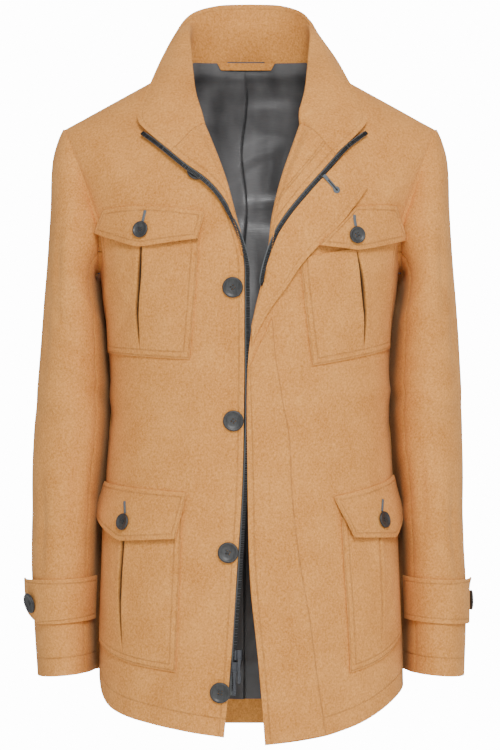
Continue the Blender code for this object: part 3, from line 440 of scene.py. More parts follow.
def satin_lining(name):
    """Viscose satin: long floats of smooth thread. It is near black, slippery and softly bright
    across its wrinkles. Painted shade from the fold attribute darkens it in its deep folds and low down."""
    material, tree, shader = new_material(name)
    place = add(tree, "ShaderNodeTexCoord", {}).outputs["Object"]
    # Weft floats lie across, 0.3 mm apart in truth and drawn as 1 mm
    across = add(tree, "ShaderNodeMapping", {"Vector": place, "Scale": (0.12, 0.12, 1.0)}).outputs[0]
    float_row = add(tree, "ShaderNodeTexNoise",
                    {"Vector": across, "Scale": 1000.0, "Detail": 2.0}).outputs[0]
    hang = add(tree, "ShaderNodeMapping", {"Vector": place, "Scale": (1.0, 1.0, 0.3)}).outputs[0]
    soft = add(tree, "ShaderNodeTexNoise", {"Vector": hang, "Scale": 30.0, "Detail": 2.0}).outputs[0]
    tone = add(tree, "ShaderNodeMath", {0: float_row, 1: 0.12, 2: soft},
               operation="MULTIPLY_ADD").outputs[0]
    tone = add(tree, "ShaderNodeMapRange", {"Value": tone, "From Min": 0.36, "From Max": 0.80}).outputs[0]
    colour = add(tree, "ShaderNodeMix", {0: tone, 6: srgb("454546"), 7: srgb("727273")},
                 data_type="RGBA").outputs[2]
    # Painted shade beside the pleat, low down and at the top, from the fold attribute
    lining_painted_shade = add(tree, "ShaderNodeAttribute", {}, attribute_name="fold").outputs["Fac"]
    colour = add(tree, "ShaderNodeMix", {0: lining_painted_shade, 6: colour, 7: srgb("161617")},
                 data_type="RGBA").outputs[2]
    height = add(tree, "ShaderNodeMath", {0: soft, 1: 16.0, 2: float_row},
                 operation="MULTIPLY_ADD").outputs[0]
    bump = add(tree, "ShaderNodeBump", {"Height": height, "Strength": 0.5, "Distance": 0.00025})
    feed(tree, shader, {"Base Color": colour, "Normal": bump.outputs[0], "Roughness": 0.36,
                        "Sheen Weight": 0.25, "Sheen Roughness": 0.3, "Anisotropic": 0.4})
    return material


def new_object(name, shape, *materials):
    """A mesh object of a finished bmesh, with its materials."""
    mesh = bpy.data.meshes.new(name)
    shape.to_mesh(mesh)
    shape.free()
    for material in materials:
        mesh.materials.append(material)
    obj = bpy.data.objects.new(name, mesh)
    bpy.context.scene.collection.objects.link(obj)
    return obj


def round_edges(obj, width, segments, degrees=None):
    """Rounds the edges that turn by more than some degrees, or by 30 where none are given."""
    bevel = obj.modifiers.new("Rounded edge", "BEVEL")
    bevel.width = width
    bevel.segments = segments
    bevel.limit_method = "ANGLE"
    if degrees:
        bevel.angle_limit = math.radians(degrees)
    bevel.harden_normals = True


def fit(obj, node=None):
    """The piece moves with the jacket and, where a node is named, stands in for its solid, which is hidden.
    """
    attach(obj, "jacket")
    if node:
        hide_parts(node)


def edge_distances(points):
    """How far each point of a grid of columns lies from the piece's left, right, bottom and top."""
    columns, rows = len(points), len(points[0])
    across, up = {}, {}
    for row in range(rows):
        across[0, row] = 0.0
        for column in range(1, columns):
            step = (points[column][row] - points[column - 1][row]).length
            across[column, row] = across[column - 1, row] + step
    for column in range(columns):
        up[column, 0] = 0.0
        for row in range(1, rows):
            step = (points[column][row] - points[column][row - 1]).length
            up[column, row] = up[column, row - 1] + step
    return {(c, r): (across[c, r], across[columns - 1, r] - across[c, r],
                     up[c, r], up[c, rows - 1] - up[c, r])
            for c in range(columns) for r in range(rows)}


def cloth(node, place, columns, rows, wall, outside, cut, inside=None, hub=None,
          faced=None, fold=None):
    """A cut piece of cloth: a grid laid on place(u, v) and given its wall, with rounded edges.
    cut is the flat width, length and area, and is not used. hub is x and y of the line that its inside
    faces.
    faced(u, v) says where its inside is wool too, and fold(u, v) how much painted shade a place
    takes in a deep fold or gap.
    The distances to its edges are kept on its points, for the topstitching."""
    grid = bmesh.new()
    bmesh.ops.create_grid(grid, x_segments=columns, y_segments=rows, size=0.5)
    field = grid.verts.layers.float_color.new("edge")
    # The fold layer carries painted shade, which the materials darken by
    depth = grid.verts.layers.float.new("fold")
    for face in grid.faces:
        middle = face.calc_center_median()
        if faced and faced(middle.x + 0.5, middle.y + 0.5):
            face.material_index = 2
    points = [[place(c / columns, r / rows) for r in range(rows + 1)] for c in range(columns + 1)]
    distances = edge_distances(points)
    for vertex in grid.verts:
        at = round((vertex.co.x + 0.5) * columns), round((vertex.co.y + 0.5) * rows)
        vertex[field] = distances[at]
        vertex[depth] = fold(at[0] / columns, at[1] / rows) if fold else 0.0
        vertex.co = points[at[0]][at[1]]
    grid.normal_update()
    if hub:
        middle = Vector((*hub, 0.0))
        level = Vector((1.0, 1.0, 0.0))
        facing = sum(face.normal.dot((face.calc_center_median() - middle) * level) for face in grid.faces)
        if facing < 0:
            bmesh.ops.reverse_faces(grid, faces=grid.faces)
    obj = new_object(f"{node}_cloth", grid, outside, inside or outside, outside, outside)
    obj.data.shade_smooth()
    solid = obj.modifiers.new("Wall", "SOLIDIFY")
    solid.thickness = wall
    solid.offset = 0.0
    solid.material_offset = 1
    round_edges(obj, wall * 0.4, 3, 50)
    fit(obj, node)
    if cut:
        width, length, area = cut
    return obj


HEM_ROW = 0.0220            # the hem's topstitching, above the hem
EDGE_ROW = 0.0065           # the front edge's
plain_wool = felted_wool("felted_wool")
hemmed_wool = felted_wool("felted_wool_hemmed", rows=[("b", HEM_ROW)])
front_wool = felted_wool("felted_wool_front", rows=[("b", HEM_ROW), ("l", EDGE_ROW)])
lining_satin = satin_lining("satin_lining")


def front_grid(name, side):
    def place(u, v):
        share = panel_share(u)
        z = panel_height(v, HEM[name][0])
        start = front_edge(side, z)
        z += hem_lift(name, share, z)
        return torso_point(mix(start, panel_end(side, z, False), share), z, seam_dip(share))

    return place


for name, side in (("front_right", -1), ("front_left", 1)):
    cloth(name, front_grid(name, side), 76, 115, WOOL_WALL, front_wool if side < 0 else hemmed_wool,
          (0.30, 0.92, 0.205), inside=lining_satin, hub=(0.0, 0.0),
          faced=lambda u, v: u < 0.34 or v < 0.025)


# ---- Backs and back lining -------------------------------------------------------------------
# Two backs of the same wool meet in a centre-back seam. The satin lining hangs inside them on a
# centre pleat that lets it stretch, and stops short of the hem, which is faced with wool.

LINING_HEM = -0.782
LINING_TOP = -0.0042
LINING_NECK = 0.0133        # its top edge inside the collar's stand
LINING_NECK_HALF = 0.0916
LINING_SIDE = 0.93          # how far round a back it reaches
CREASES = [
    # x, height, degrees from level, length, width, rise: the lining's own wrinkles
    (-0.030, -0.060, 78, 0.050, 0.012, 0.0030),
    (-0.050, -0.120, 70, 0.060, 0.012, -0.0026),
    (-0.020, -0.118, 38, 0.040, 0.010, 0.0026),
    (-0.034, -0.168, 84, 0.060, 0.010, 0.0030),
    (0.024, -0.044, 4, 0.032, 0.007, 0.0036),
    (0.040, -0.072, -8, 0.034, 0.009, -0.0030),
    (0.018, -0.098, 20, 0.022, 0.009, 0.0032),
    (0.026, -0.125, 80, 0.030, 0.012, 0.0034),
    (0.046, -0.105, 70, 0.040, 0.010, -0.0024),
    (0.016, -0.162, 6, 0.024, 0.007, 0.0034),
    (0.014, -0.185, -12, 0.022, 0.007, -0.0026),
    (-0.014, -0.230, 92, 0.060, 0.008, 0.0026),
    (0.020, -0.280, 88, 0.080, 0.010, 0.0026),
    (-0.030, -0.390, 84, 0.120, 0.012, 0.0026),
    (0.010, -0.480, 96, 0.120, 0.012, 0.0026),
    (-0.010, -0.600, 92, 0.110, 0.010, 0.0028),
    (0.012, -0.690, 70, 0.040, 0.010, 0.0030),
    (-0.004, -0.740, 24, 0.030, 0.008, 0.0028),
    (0.060, -0.560, 92, 0.140, 0.014, 0.0026),
    (-0.070, -0.620, 88, 0.140, 0.014, 0.0026),
]


def back_point(name, side, u, z, out=0.0):
    share = panel_share(u)
    z += hem_lift(name, share, z)
    return torso_point(mix(-side * 0.0001, panel_end(side, z, True), share), z, out, back=True)


def back_grid(name, side):
    def place(u, v):
        dip = seam_dip(panel_share(u)) - 0.0007 * bell(u, 0.02)
        return back_point(name, side, u, panel_height(v, HEM[name][0]), dip)

    return place


for name, side in (("back_right", -1), ("back_left", 1)):
    cloth(name, back_grid(name, side), 66, 115, WOOL_WALL, hemmed_wool, (0.29, 0.90, 0.205),
          inside=plain_wool, hub=(0.0, 0.0))


def across_lining(u):
    """Columns crowd to the centre, where the pleat is."""
    s = 2 * u - 1
    return 0.3 * s + 0.7 * s ** 3


def lining_grid(u, v):
    across = across_lining(u)
    side = -1 if across < 0 else 1
    name = "back_left" if side > 0 else "back_right"
    # Its top edge is sewn in at the collar's stand, and drops to the shoulder seams at the sides
    x = side * LINING_NECK_HALF * panel_share(abs(across) * LINING_SIDE)
    top = mix(LINING_NECK, LINING_TOP, ease((abs(x) - 0.070) / 0.012))
    top += 0.0018 * ease((0.0245 - abs(x + 0.005)) / 0.0015)
    z = mix(LINING_HEM, top, v)
    inward = -0.0027 - 0.0010 * ease((z + 0.030) / 0.024)
    point = back_point(name, side, abs(across) * LINING_SIDE, min(z, LINING_TOP), inward)
    point.z += max(z - LINING_TOP, 0.0)
    rise = 0.0
    for fx, fz, degrees, length, width, height in CREASES:
        along, off = along_across(point.x - fx, z - fz, degrees)
        rise += height * bell(along, length, off, width)
    # The pleat's fold wanders a little off the centre back, steep on one side and soft on the other
    fold = point.x - pleat_line(z)
    pleat = 0.0062 * bell(fold, 0.0012 if fold > 0 else 0.016)
    at_neck = ease((0.004 - z) / 0.03)
    return point - Vector((0.0, max(rise * at_neck, -0.0010) + pleat * at_neck, 0.0))


def lining_shade(u, v):
    """Painted shade: deep beside the pleat's fold, low down inside the jacket, and along its top under the
    collar.
    """
    z = mix(LINING_HEM, LINING_NECK, v)
    side = 1 if u > 0.5 else -1
    reach = LINING_NECK_HALF if z > -0.02 else abs(panel_end(side, z, True))
    across = side * panel_share(abs(across_lining(u)) * LINING_SIDE) * reach
    beside = bell(across - pleat_line(z) - 0.0017, 0.0013) * ease((-0.012 - z) / 0.02)
    return min(0.80 * beside + 0.62 * ease((-0.22 - z) / 0.30) + 0.40 * ease((z + 0.020) / 0.015), 0.85)


def pleat_line(z):
    """x of the centre pleat's fold."""
    return -0.0085 + 0.0035 * math.sin((z + 0.065) * 44) * bell(z + 0.10, 0.16)


cloth("back_lining", lining_grid, 220, 130, 0.0006, lining_satin, (0.58, 0.84, 0.370),
      hub=(0.0, -0.5), fold=lining_shade)


# ---- Sleeves ---------------------------------------------------------------------------------
# Each sleeve is cut in two: a wide top sleeve and a narrow under sleeve, seamed down its inner
# side and its back, bent a little at the elbow, set into the armhole and stitched at the cuff.

SLEEVE = [
    # drop of the outer side, outer x, inner x, inner z, front y, back y
    (0.077, 0.2260, 0.1850, -0.2520, -0.056, 0.066),
    (0.115, 0.2375, 0.1885, -0.2560, -0.066, 0.072),
    (0.175, 0.2420, 0.1880, -0.2660, -0.072, 0.081),
    (0.235, 0.2460, 0.1848, -0.2880, -0.073, 0.086),
    (0.290, 0.2505, 0.1802, -0.3150, -0.072, 0.088),
    (0.350, 0.2550, 0.1762, -0.3600, -0.070, 0.082),
    (0.410, 0.2600, 0.1748, -0.4130, -0.068, 0.076),
    (0.470, 0.2640, 0.1785, -0.4700, -0.068, 0.070),
    (0.540, 0.2650, 0.1848, -0.5380, -0.070, 0.062),
    (0.610, 0.2650, 0.1882, -0.6060, -0.070, 0.053),
    (0.680, 0.2620, 0.1910, -0.6740, -0.068, 0.046),
    (0.741, 0.2580, 0.1915, -0.7350, -0.066, 0.041),
]
SLEEVE_CREASES = [
    # drop, degrees round from the outer side, depth, length, spread in degrees, tilt
    (0.345, 95, -0.0030, 0.016, 45, 0.0003),
    (0.392, 130, -0.0026, 0.014, 50, 0.0003),
    (0.430, 60, -0.0028, 0.016, 48, 0.0003),
    (0.478, 100, -0.0022, 0.018, 55, 0.0003),
    (0.360, 250, -0.0030, 0.020, 55, 0.0003),
    (0.440, 280, -0.0028, 0.018, 50, 0.0003),
    (0.560, 75, -0.0018, 0.020, 60, 0.0003),
    (0.368, 110, 0.0018, 0.010, 40, 0.0004),
    (0.411, 85, 0.0018, 0.010, 45, 0.0002),
    (0.455, 120, 0.0015, 0.010, 45, 0.0004),
    (0.398, 270, 0.0020, 0.012, 45, 0.0004),
    (0.520, 140, -0.0016, 0.010, 40, 0.0005),
    (0.300, 70, -0.0018, 0.014, 34, 0.0007),
    (0.260, 120, 0.0020, 0.014, 34, 0.0008),
    (0.210, 300, -0.0018, 0.018, 34, -0.0007),
    (0.255, 235, -0.0024, 0.014, 30, -0.0007),
    (0.590, 300, 0.0016, 0.020, 50, 0.0003),
    (0.560, 52, -0.0030, 0.060, 10, 0.0),
    (0.520, 108, -0.0022, 0.050, 9, 0.0),
    (0.230, 62, -0.0022, 0.060, 10, 0.0002),
    (0.150, 84, 0.0016, 0.040, 10, 0.0003),
    (0.330, 40, -0.0020, 0.050, 9, 0.0),
]
SHOULDER_END = 0.077
CUFF_END = 0.741
SLEEVE_ROUND = 2.15
SLEEVE_MIDDLE = 0.224
SEAM_ANGLE = 136            # degrees round from the outer side, by the front, to the inner seam
BACK_SEAM_ANGLE = -100
outer_x, inner_x, inner_z, sleeve_front, sleeve_back = (curve(SLEEVE, c) for c in range(1, 6))
LEFT_SLEEVE = [
    # drop, how much further out the left sleeve's outer side lies
    (0.330, 0.0),
    (0.400, -0.0020),
    (0.460, -0.0052),
    (0.580, -0.0056),
    (0.650, -0.0010),
    (0.741, 0.0024),
]
left_outward = curve(LEFT_SLEEVE, 1)


def armhole_point(side, angle, inside=0.0, out=0.0):
    """A point of the armhole seam, from the shoulder round by the front to the underarm and up
    the back, or one that lies inside it on the panel."""
    z = (UNDERARM - SHOULDER_DROP) / 2 - (SHOULDER_DROP + UNDERARM) / 2 * math.cos(math.radians(angle))
    back = angle > 180
    return torso_point(panel_end(side, z, back) - side * inside, z, out, back=back)


def sleeve_ring(side, angle, drop):
    """A point of the plain sleeve: a leaning oval ring, at a drop down the outer side."""
    turn = math.radians(angle)
    cosine, sine = math.cos(turn), math.sin(turn)
    outward = left_outward(drop) if side > 0 else 0.0
    outer, inner = Vector((outer_x(drop) + outward, -drop)), Vector((inner_x(drop), inner_z(drop)))
    across = math.copysign(abs(cosine) ** (2 / SLEEVE_ROUND), cosine)
    middle = (outer + inner) / 2 + (outer - inner) / 2 * across
    depth = (sleeve_front if sine >= 0 else sleeve_back)(drop)
    # Behind the side seam the sleeve's inner side swings in behind the body
    swing = 0.015 * bell(angle % 360 - 214, 24) * ease((drop - 0.10) / 0.08)
    y = SIDE_Y + (depth - SIDE_Y) * abs(sine) ** (2 / SLEEVE_ROUND)
    return Vector((side * (middle.x - swing), y, middle.y))


def armhole_gap(angle):
    """How far the sleeve stands off the armhole, more so below and behind."""
    down = (1 - math.cos(math.radians(angle))) / 2
    behind = max(-math.sin(math.radians(angle)), 0.0)
    return 0.0021 + 0.0014 * down ** 6 + 0.0010 * behind + 0.0006 * (1 - down) ** 4


def sleeve_surface(side, angle, drop):
    """The sleeve, its head faded into the armhole."""
    angle = angle % 360
    point = sleeve_ring(side, angle, drop)
    fade = 1 - ease((drop - SHOULDER_END) / 0.123)
    if fade > 0:
        point += (armhole_point(side, angle) - sleeve_ring(side, angle, SHOULDER_END)) * fade
        point.x += side * armhole_gap(angle) * fade
    return point


def sleeve_point(side, angle, drop, out=0.0):
    """A point moved out from the sleeve along its normal, creases included."""
    for height, middle, depth, length, spread, tilt in SLEEVE_CREASES:
        round_by = (angle - middle + 180) % 360 - 180
        along = (drop - height - round_by * tilt) / length
        out += depth * bell(along, 1.0, round_by, spread)
    low = min(max(drop, SHOULDER_END + 0.002), CUFF_END - 0.002)
    around = sleeve_surface(side, angle + 2, low) - sleeve_surface(side, angle - 2, low)
    down = sleeve_surface(side, angle, low + 0.002) - sleeve_surface(side, angle, low - 0.002)
    return sleeve_surface(side, angle, drop) + around.cross(down).normalized() * side * out


SLEEVE_ROWS = 120
TUCK_ROWS = 6
SEAM_GAP = 0.45             # degrees left free at each seam


def sleeve_grid(side, first, last):
    def place(u, v):
        row = v * (SLEEVE_ROWS + TUCK_ROWS)
        drop = mix(CUFF_END, SHOULDER_END, min(row / SLEEVE_ROWS, 1.0))
        angle = mix(first + SEAM_GAP, last - SEAM_GAP, u)
        seam = -0.0008 * (bell(u, 0.02) + bell(1 - u, 0.02))
        # The sleeve head turns under, into the armhole seam
        under = -0.0012 * bell(drop - SHOULDER_END, 0.006)
        point = sleeve_point(side, angle, drop, seam + under)
        tucked = armhole_point(side, angle % 360, 0.0045, -0.0036)
        return point.lerp(tucked, max(row - SLEEVE_ROWS, 0.0) / TUCK_ROWS)

    return place


def sleeve_shade(first, last):
    """Painted shade: dark where the sleeve's inner side lies close to the body."""
    def depth(u, v):
        angle, drop = mix(first, last, u), mix(CUFF_END, SHOULDER_END, v)
        return 0.55 * bell(angle - 172, 24) * ease((drop - 0.15) / 0.10)

    return depth


cuff_wool = felted_wool("felted_wool_cuff_hem", rows=[("b", 0.0220)])
for name, side in (("right", -1), ("left", 1)):
    for part, first, last, columns, cut in (
            ("top", BACK_SEAM_ANGLE, SEAM_ANGLE, 96, (0.35, 0.70, 0.150)),
            ("under", SEAM_ANGLE, BACK_SEAM_ANGLE + 360, 44, (0.185, 0.60, 0.075))):
        cloth(f"sleeve_{part}_{name}", sleeve_grid(side, first, last), columns, SLEEVE_ROWS + TUCK_ROWS,
              WOOL_WALL, cuff_wool, cut, inside=lining_satin, hub=(side * SLEEVE_MIDDLE, SIDE_Y),
              faced=lambda u, v: v < 0.05, fold=sleeve_shade(first, last))


# ---- Turned facings --------------------------------------------------------------------------
# The fronts' wool facings, shown where the lapels turn out. Each rolls round the front's edge
# and runs out to the zip. The left one carries rows of topstitching beside the zip.

LAPEL_RIGHT = [
    # roll height, zip station
    (-0.0765, 1.36),
    (-0.0977, 2.00),
    (-0.1256, 3.00),
    (-0.1527, 4.00),
    (-0.1795, 5.00),
    (-0.2000, 5.75),
    (-0.2180, 6.55),
    (-0.2340, 7.30),
]
LAPEL_LEFT = [
    (-0.0765, 1.34),
    (-0.0950, 2.00),
    (-0.1250, 3.00),
    (-0.1600, 4.00),
    (-0.1950, 4.85),
    (-0.2200, 5.70),
    (-0.2400, 6.55),
    (-0.2560, 7.30),
]
ZIP_RIGHT = [
    # x, height, out from the front: over the lapel above, behind the edge below
    (-0.1265, -0.0905, 0.0064),
    (-0.1050, -0.1070, 0.0072),
    (-0.0763, -0.1307, 0.0076),
    (-0.0534, -0.1471, 0.0074),
    (-0.0364, -0.1647, 0.0064),
    (-0.0248, -0.1838, 0.0056),
    (-0.0155, -0.2028, 0.0048),
    (-0.0080, -0.2236, 0.0040),
    (-0.0035, -0.2443, 0.0032),
    (-0.0035, -0.2744, 0.0000),
    (-0.0035, -0.3100, -0.0016),
    (-0.0035, -0.3450, -0.0024),
    (-0.0035, -0.4300, -0.0024),
    (-0.0058, -0.5000, -0.0024),
    (-0.0092, -0.5600, -0.0024),
    (-0.0129, -0.6187, -0.0024),
    (-0.0167, -0.6660, -0.0024),
    (-0.0193, -0.7130, -0.0024),
    (-0.0213, -0.7550, -0.0024),
]
ZIP_LEFT = [
    (0.1370, -0.0890, 0.0062),
    (0.1133, -0.1076, 0.0064),
    (0.0867, -0.1373, 0.0066),
    (0.0656, -0.1609, 0.0064),
    (0.0467, -0.1838, 0.0060),
    (0.0315, -0.2066, 0.0056),
    (0.0222, -0.2293, 0.0052),
    (0.0175, -0.2443, 0.0048),
    (0.0137, -0.2632, 0.0042),
    (0.0165, -0.2740, -0.0040),
]
DOUBLE_WALL = 0.0030        # two layers of the wool, pressed together
BEHIND_FRONT = (0.0, 0.1)   # x and y of a line inside the jacket, behind all that lies on a front
ROLL_OUT = 0.0028
ROLL_SHARE = 0.14           # share of the facing's columns that go round the roll


def stations(table):
    """A reader for each column of a table, keyed by the row's own number."""
    rows = [(i, *row) for i, row in enumerate(table)]
    return [curve(rows, column) for column in range(1, len(rows[0]))]


def beside_zip(readers, station, across):
    """x, height and stand-off of a place beside a zip's centre line."""
    x, z, out = (read(station) for read in readers)
    ahead_x, ahead_z = (read(station + 0.02) - read(station - 0.02) for read in readers[:2])
    length = math.hypot(ahead_x, ahead_z)
    return x - ahead_z / length * across, z + ahead_x / length * across, out


def facing_grid(side, table, zip_table):
    roll, zip_line = stations(table), stations(zip_table)

    def place(u, v):
        station = v * (len(table) - 1)
        roll_z, zip_station = (read(station) for read in roll)
        roll_x = front_edge(side, roll_z)
        if u < ROLL_SHARE:
            turn = math.pi * (1 - u / ROLL_SHARE)
            start = torso_point(roll_x, roll_z)
            normal = (torso_point(roll_x, roll_z, 0.01) - start).normalized()
            inward = (torso_point(roll_x - side * 0.004, roll_z) - start).normalized()
            return start + (normal * math.cos(turn) + inward * math.sin(turn)) * ROLL_OUT
        u = (u - ROLL_SHARE) / (1 - ROLL_SHARE)
        edge_x, edge_z, edge_out = beside_zip(zip_line, zip_station, -side * 0.0031)
        if (edge_x - roll_x) * side < 0.0008:
            edge_x = roll_x + side * 0.0008
        width = math.hypot(edge_x - roll_x, edge_z - roll_z)
        crown = mix(ROLL_OUT, 0.0098, min(width / 0.045, 1.0))
        if u < 0.3:
            out = mix(ROLL_OUT, crown, ease(u / 0.3))
        else:
            out = mix(crown, edge_out, ease((u - 0.3) / 0.7))
        return torso_point(mix(roll_x, edge_x, u), mix(roll_z, edge_z, u), out)

    return place


facing_places = {-1: facing_grid(-1, LAPEL_RIGHT, ZIP_RIGHT), 1: facing_grid(1, LAPEL_LEFT, ZIP_LEFT)}
beside_the_zip, along_the_collar = ("r", 0.0068), ("b", 0.0010)
facing_wool = felted_wool("felted_wool_facing", rows=[beside_the_zip, along_the_collar])
cloth("facing_right", facing_places[-1], 70, 90, DOUBLE_WALL, facing_wool, (0.072, 0.168, 0.0056),
      hub=BEHIND_FRONT)
facing_wool = felted_wool("felted_wool_facing_rows",
                          rows=[beside_the_zip, ("r", 0.0185), ("r", 0.0215), along_the_collar])
cloth("facing_left", facing_places[1], 70, 90, DOUBLE_WALL, facing_wool, (0.078, 0.180, 0.0071),
      hub=BEHIND_FRONT)


# ---- Collar ----------------------------------------------------------------------------------
# A stand collar cut double in the same wool, sewn to the neck edge. It stands at the back, turns
# over at a soft roll and lies out over the lapels, with a row of topstitching inside its edge.

COLLAR = [
    # on back, neck, roll x, y, z, edge x, y, z, bulge, reach
    (1, 0.0000, 0.0000, 0.0900, 0.0450, 0.0000, 0.0980, 0.0855, 0.000, 0.000),
    (1, 0.0400, 0.0400, 0.0850, 0.0450, 0.0410, 0.0900, 0.0830, 0.001, -0.001),
    (1, 0.0680, 0.0690, 0.0640, 0.0480, 0.0735, 0.0680, 0.0705, 0.003, -0.006),
    (1, 0.0840, 0.0745, 0.0300, 0.0400, 0.0922, 0.0400, 0.0420, 0.005, -0.008),
    (0, -0.0045, 0.0725, -0.0020, 0.0180, 0.1080, 0.0080, 0.0090, 0.006, -0.003),
    (0, -0.0210, 0.0705, -0.0330, -0.0080, 0.1190, -0.0290, -0.0200, 0.006, 0.000),
    (0, -0.0430, 0.0680, -0.0610, -0.0340, 0.1302, -0.0530, -0.0480, 0.005, 0.004),
    (0, -0.0600, 0.0635, -0.0760, -0.0530, 0.1345, -0.0690, -0.0690, 0.005, 0.006),
    (0, -0.0660, 0.0600, -0.0825, -0.0620, 0.1230, -0.0880, -0.0855, 0.005, 0.007),
    (0, -0.0700, 0.0575, -0.0870, -0.0690, 0.0940, -0.1060, -0.1075, 0.004, 0.0095),
]
COLLAR_KEYS = (0.0, 0.34, 0.67, 1.0)
COLLAR_OUT = Vector((0.0, -0.4, 0.9))
COLLAR_WAVES = [
    # along the collar, across it, length, width, rise: the soft unevenness of a worn-in collar
    (-6.6, 0.80, 1.4, 0.16, 0.0016),
    (-4.4, 0.70, 1.0, 0.20, -0.0014),
    (-1.5, 0.55, 1.8, 0.14, 0.0010),
    (2.4, 0.60, 1.6, 0.16, -0.0010),
    (4.9, 0.74, 1.1, 0.18, 0.0016),
    (7.2, 0.72, 1.2, 0.20, -0.0012),
]


def collar_section(row, side):
    """The four points of a section: neck seam, roll, middle of the turned part, free edge."""
    on_back, neck, roll_x, roll_y, roll_z, edge_x, edge_y, edge_z, bulge, reach = row
    if on_back:
        height = NECK_TOP - 0.0075 * (1 - (neck / NECK_HALF) ** 2) - 0.0015
        base = torso_point(side * neck, height, 0.0034, back=True)
    else:
        base = torso_point(front_edge(side, neck), neck, 0.0042)
    if side > 0:
        edge_x += reach
    roll = Vector((side * roll_x, roll_y, roll_z))
    edge = Vector((side * edge_x, edge_y, edge_z))
    return [base, roll, (roll + edge) / 2 + COLLAR_OUT * bulge, edge]


collar_lines = {}
for side in (-1, 1):
    sections = [collar_section(row, side) for row in COLLAR]
    for part in range(4):
        points = [(i, *section[part]) for i, section in enumerate(sections)]
        if part == 0:
            # The neck seam runs out round the end of the shoulder seam
            points.insert(4, (3.55, side * 0.0945, 0.006, -0.010))
        collar_lines[side, part] = [curve(points, axis) for axis in (1, 2, 3)]


def collar_place(u, v):
    along = (2 * u - 1) * (len(COLLAR) - 1)
    side = -1 if along < 0 else 1
    points = [(key, *(read(abs(along)) for read in collar_lines[side, part]))
              for part, key in enumerate(COLLAR_KEYS)]
    rise = 0.0
    for middle, across, length, width, height in COLLAR_WAVES:
        rise += height * bell(along - middle, length, v - across, width)
    point = Vector([curve(points, axis)(v) for axis in (1, 2, 3)]) + COLLAR_OUT * rise
    # Its front end runs into the seam with the turned facing
    meet = ease((abs(along) - 7.2) / 1.8)
    if meet == 0.0:
        return point
    roll_at = COLLAR_KEYS[1]
    if v < roll_at:
        over = v / roll_at * ROLL_SHARE
    else:
        over = mix(ROLL_SHARE, 1.0, (v - roll_at) / (1 - roll_at))
    return point.lerp(facing_places[side](over, 0.0) + Vector((0.0, 0.0, 0.0004)), meet)


collar_wool = felted_wool("felted_wool_collar", rows=[("t", 0.0062)], pull=0.10)
cloth("collar", collar_place, 200, 44, DOUBLE_WALL, collar_wool, (0.66, 0.120, 0.052))


# ---- Covered placket and fly -----------------------------------------------------------------
# A double strip of the same wool runs past the zip down the left front and hides the buttonholes.
# Its top turns out with the lapel, and below it is stitched down flat as the outer fly.

PLACKET = [
    # inner x, inner z, outer x, outer z, out
    (0.1105, -0.1170, 0.1382, -0.1520, 0.0064),
    (0.0892, -0.1397, 0.1254, -0.1703, 0.0066),
    (0.0681, -0.1632, 0.1020, -0.1993, 0.0070),
    (0.0492, -0.1860, 0.0790, -0.2227, 0.0072),
    (0.0343, -0.2086, 0.0588, -0.2459, 0.0070),
    (0.0252, -0.2310, 0.0426, -0.2708, 0.0062),
    (0.0208, -0.2455, 0.0307, -0.2873, 0.0052),
    (0.0170, -0.2650, 0.0200, -0.3040, 0.0038),
    (0.0085, -0.2930, 0.0095, -0.3228, 0.0034),
    (0.0028, -0.3180, 0.0020, -0.3400, 0.0028),
]
PATCH_WALL = 0.0018         # the wool pressed flat where it is sewn down on a front
FLY = [
    # inner x, inner z, outer x, outer z, out
    (-0.0018, -0.3700, 0.0262, -0.3080, 0.0026),
    (-0.0030, -0.4000, 0.0310, -0.3550, 0.0026),
    (-0.0034, -0.4350, 0.0392, -0.4057, 0.0026),
    (-0.0032, -0.4700, 0.0475, -0.4531, 0.0026),
    (-0.0024, -0.5300, 0.0510, -0.5242, 0.0026),
    (-0.0008, -0.5953, 0.0593, -0.5953, 0.0026),
    (0.0050, -0.6663, 0.0711, -0.6663, 0.0026),
    (0.0120, -0.7374, 0.0806, -0.7374, 0.0026),
    (0.0178, -0.8135, 0.0905, -0.8030, 0.0026),
]


def strip_grid(table, shape):
    """A strip between an inner and an outer line, moved out from the front by shape(u, v, out)."""
    readers = stations(table)

    def place(u, v):
        inner_x, inner_z, outer_x, outer_z, out = (read(v * (len(table) - 1)) for read in readers)
        return torso_point(mix(inner_x, outer_x, u), mix(inner_z, outer_z, u), shape(u, v, out))

    return place


def placket_shape(u, v, out):
    """Soft and full in the middle, with its outer edge lifted a little off the front."""
    return out + 0.0012 * math.sin(math.pi * u) - 0.0008 * bell(u, 0.06)


def fly_shape(u, v, out):
    """Flat on the front, turned down into the stitched line at its outer side."""
    return out - 0.0006 - 0.0015 * ease((u - 0.955) / 0.045) + 0.0006 * bell(u - 0.10, 0.08)


placket_wool = felted_wool("felted_wool_placket", rows=[("rb", 0.0062)], pull=0.10)
cloth("placket", strip_grid(PLACKET, placket_shape), 50, 110, DOUBLE_WALL, placket_wool,
      (0.056, 0.260, 0.0098), hub=BEHIND_FRONT)
fly_wool = felted_wool("felted_wool_fly", rows=[("r", 0.0014), ("l", 0.0068)])
cloth("fly", strip_grid(FLY, fly_shape), 60, 130, PATCH_WALL, fly_wool, (0.080, 0.520, 0.0300),
      hub=BEHIND_FRONT)


# ---- Patch pockets ---------------------------------------------------------------------------
# Four patches of the same wool sewn on at the sides and foot with two rows of stitching. An
# open pleat down the middle lets each one fill. It gapes most under the flap.

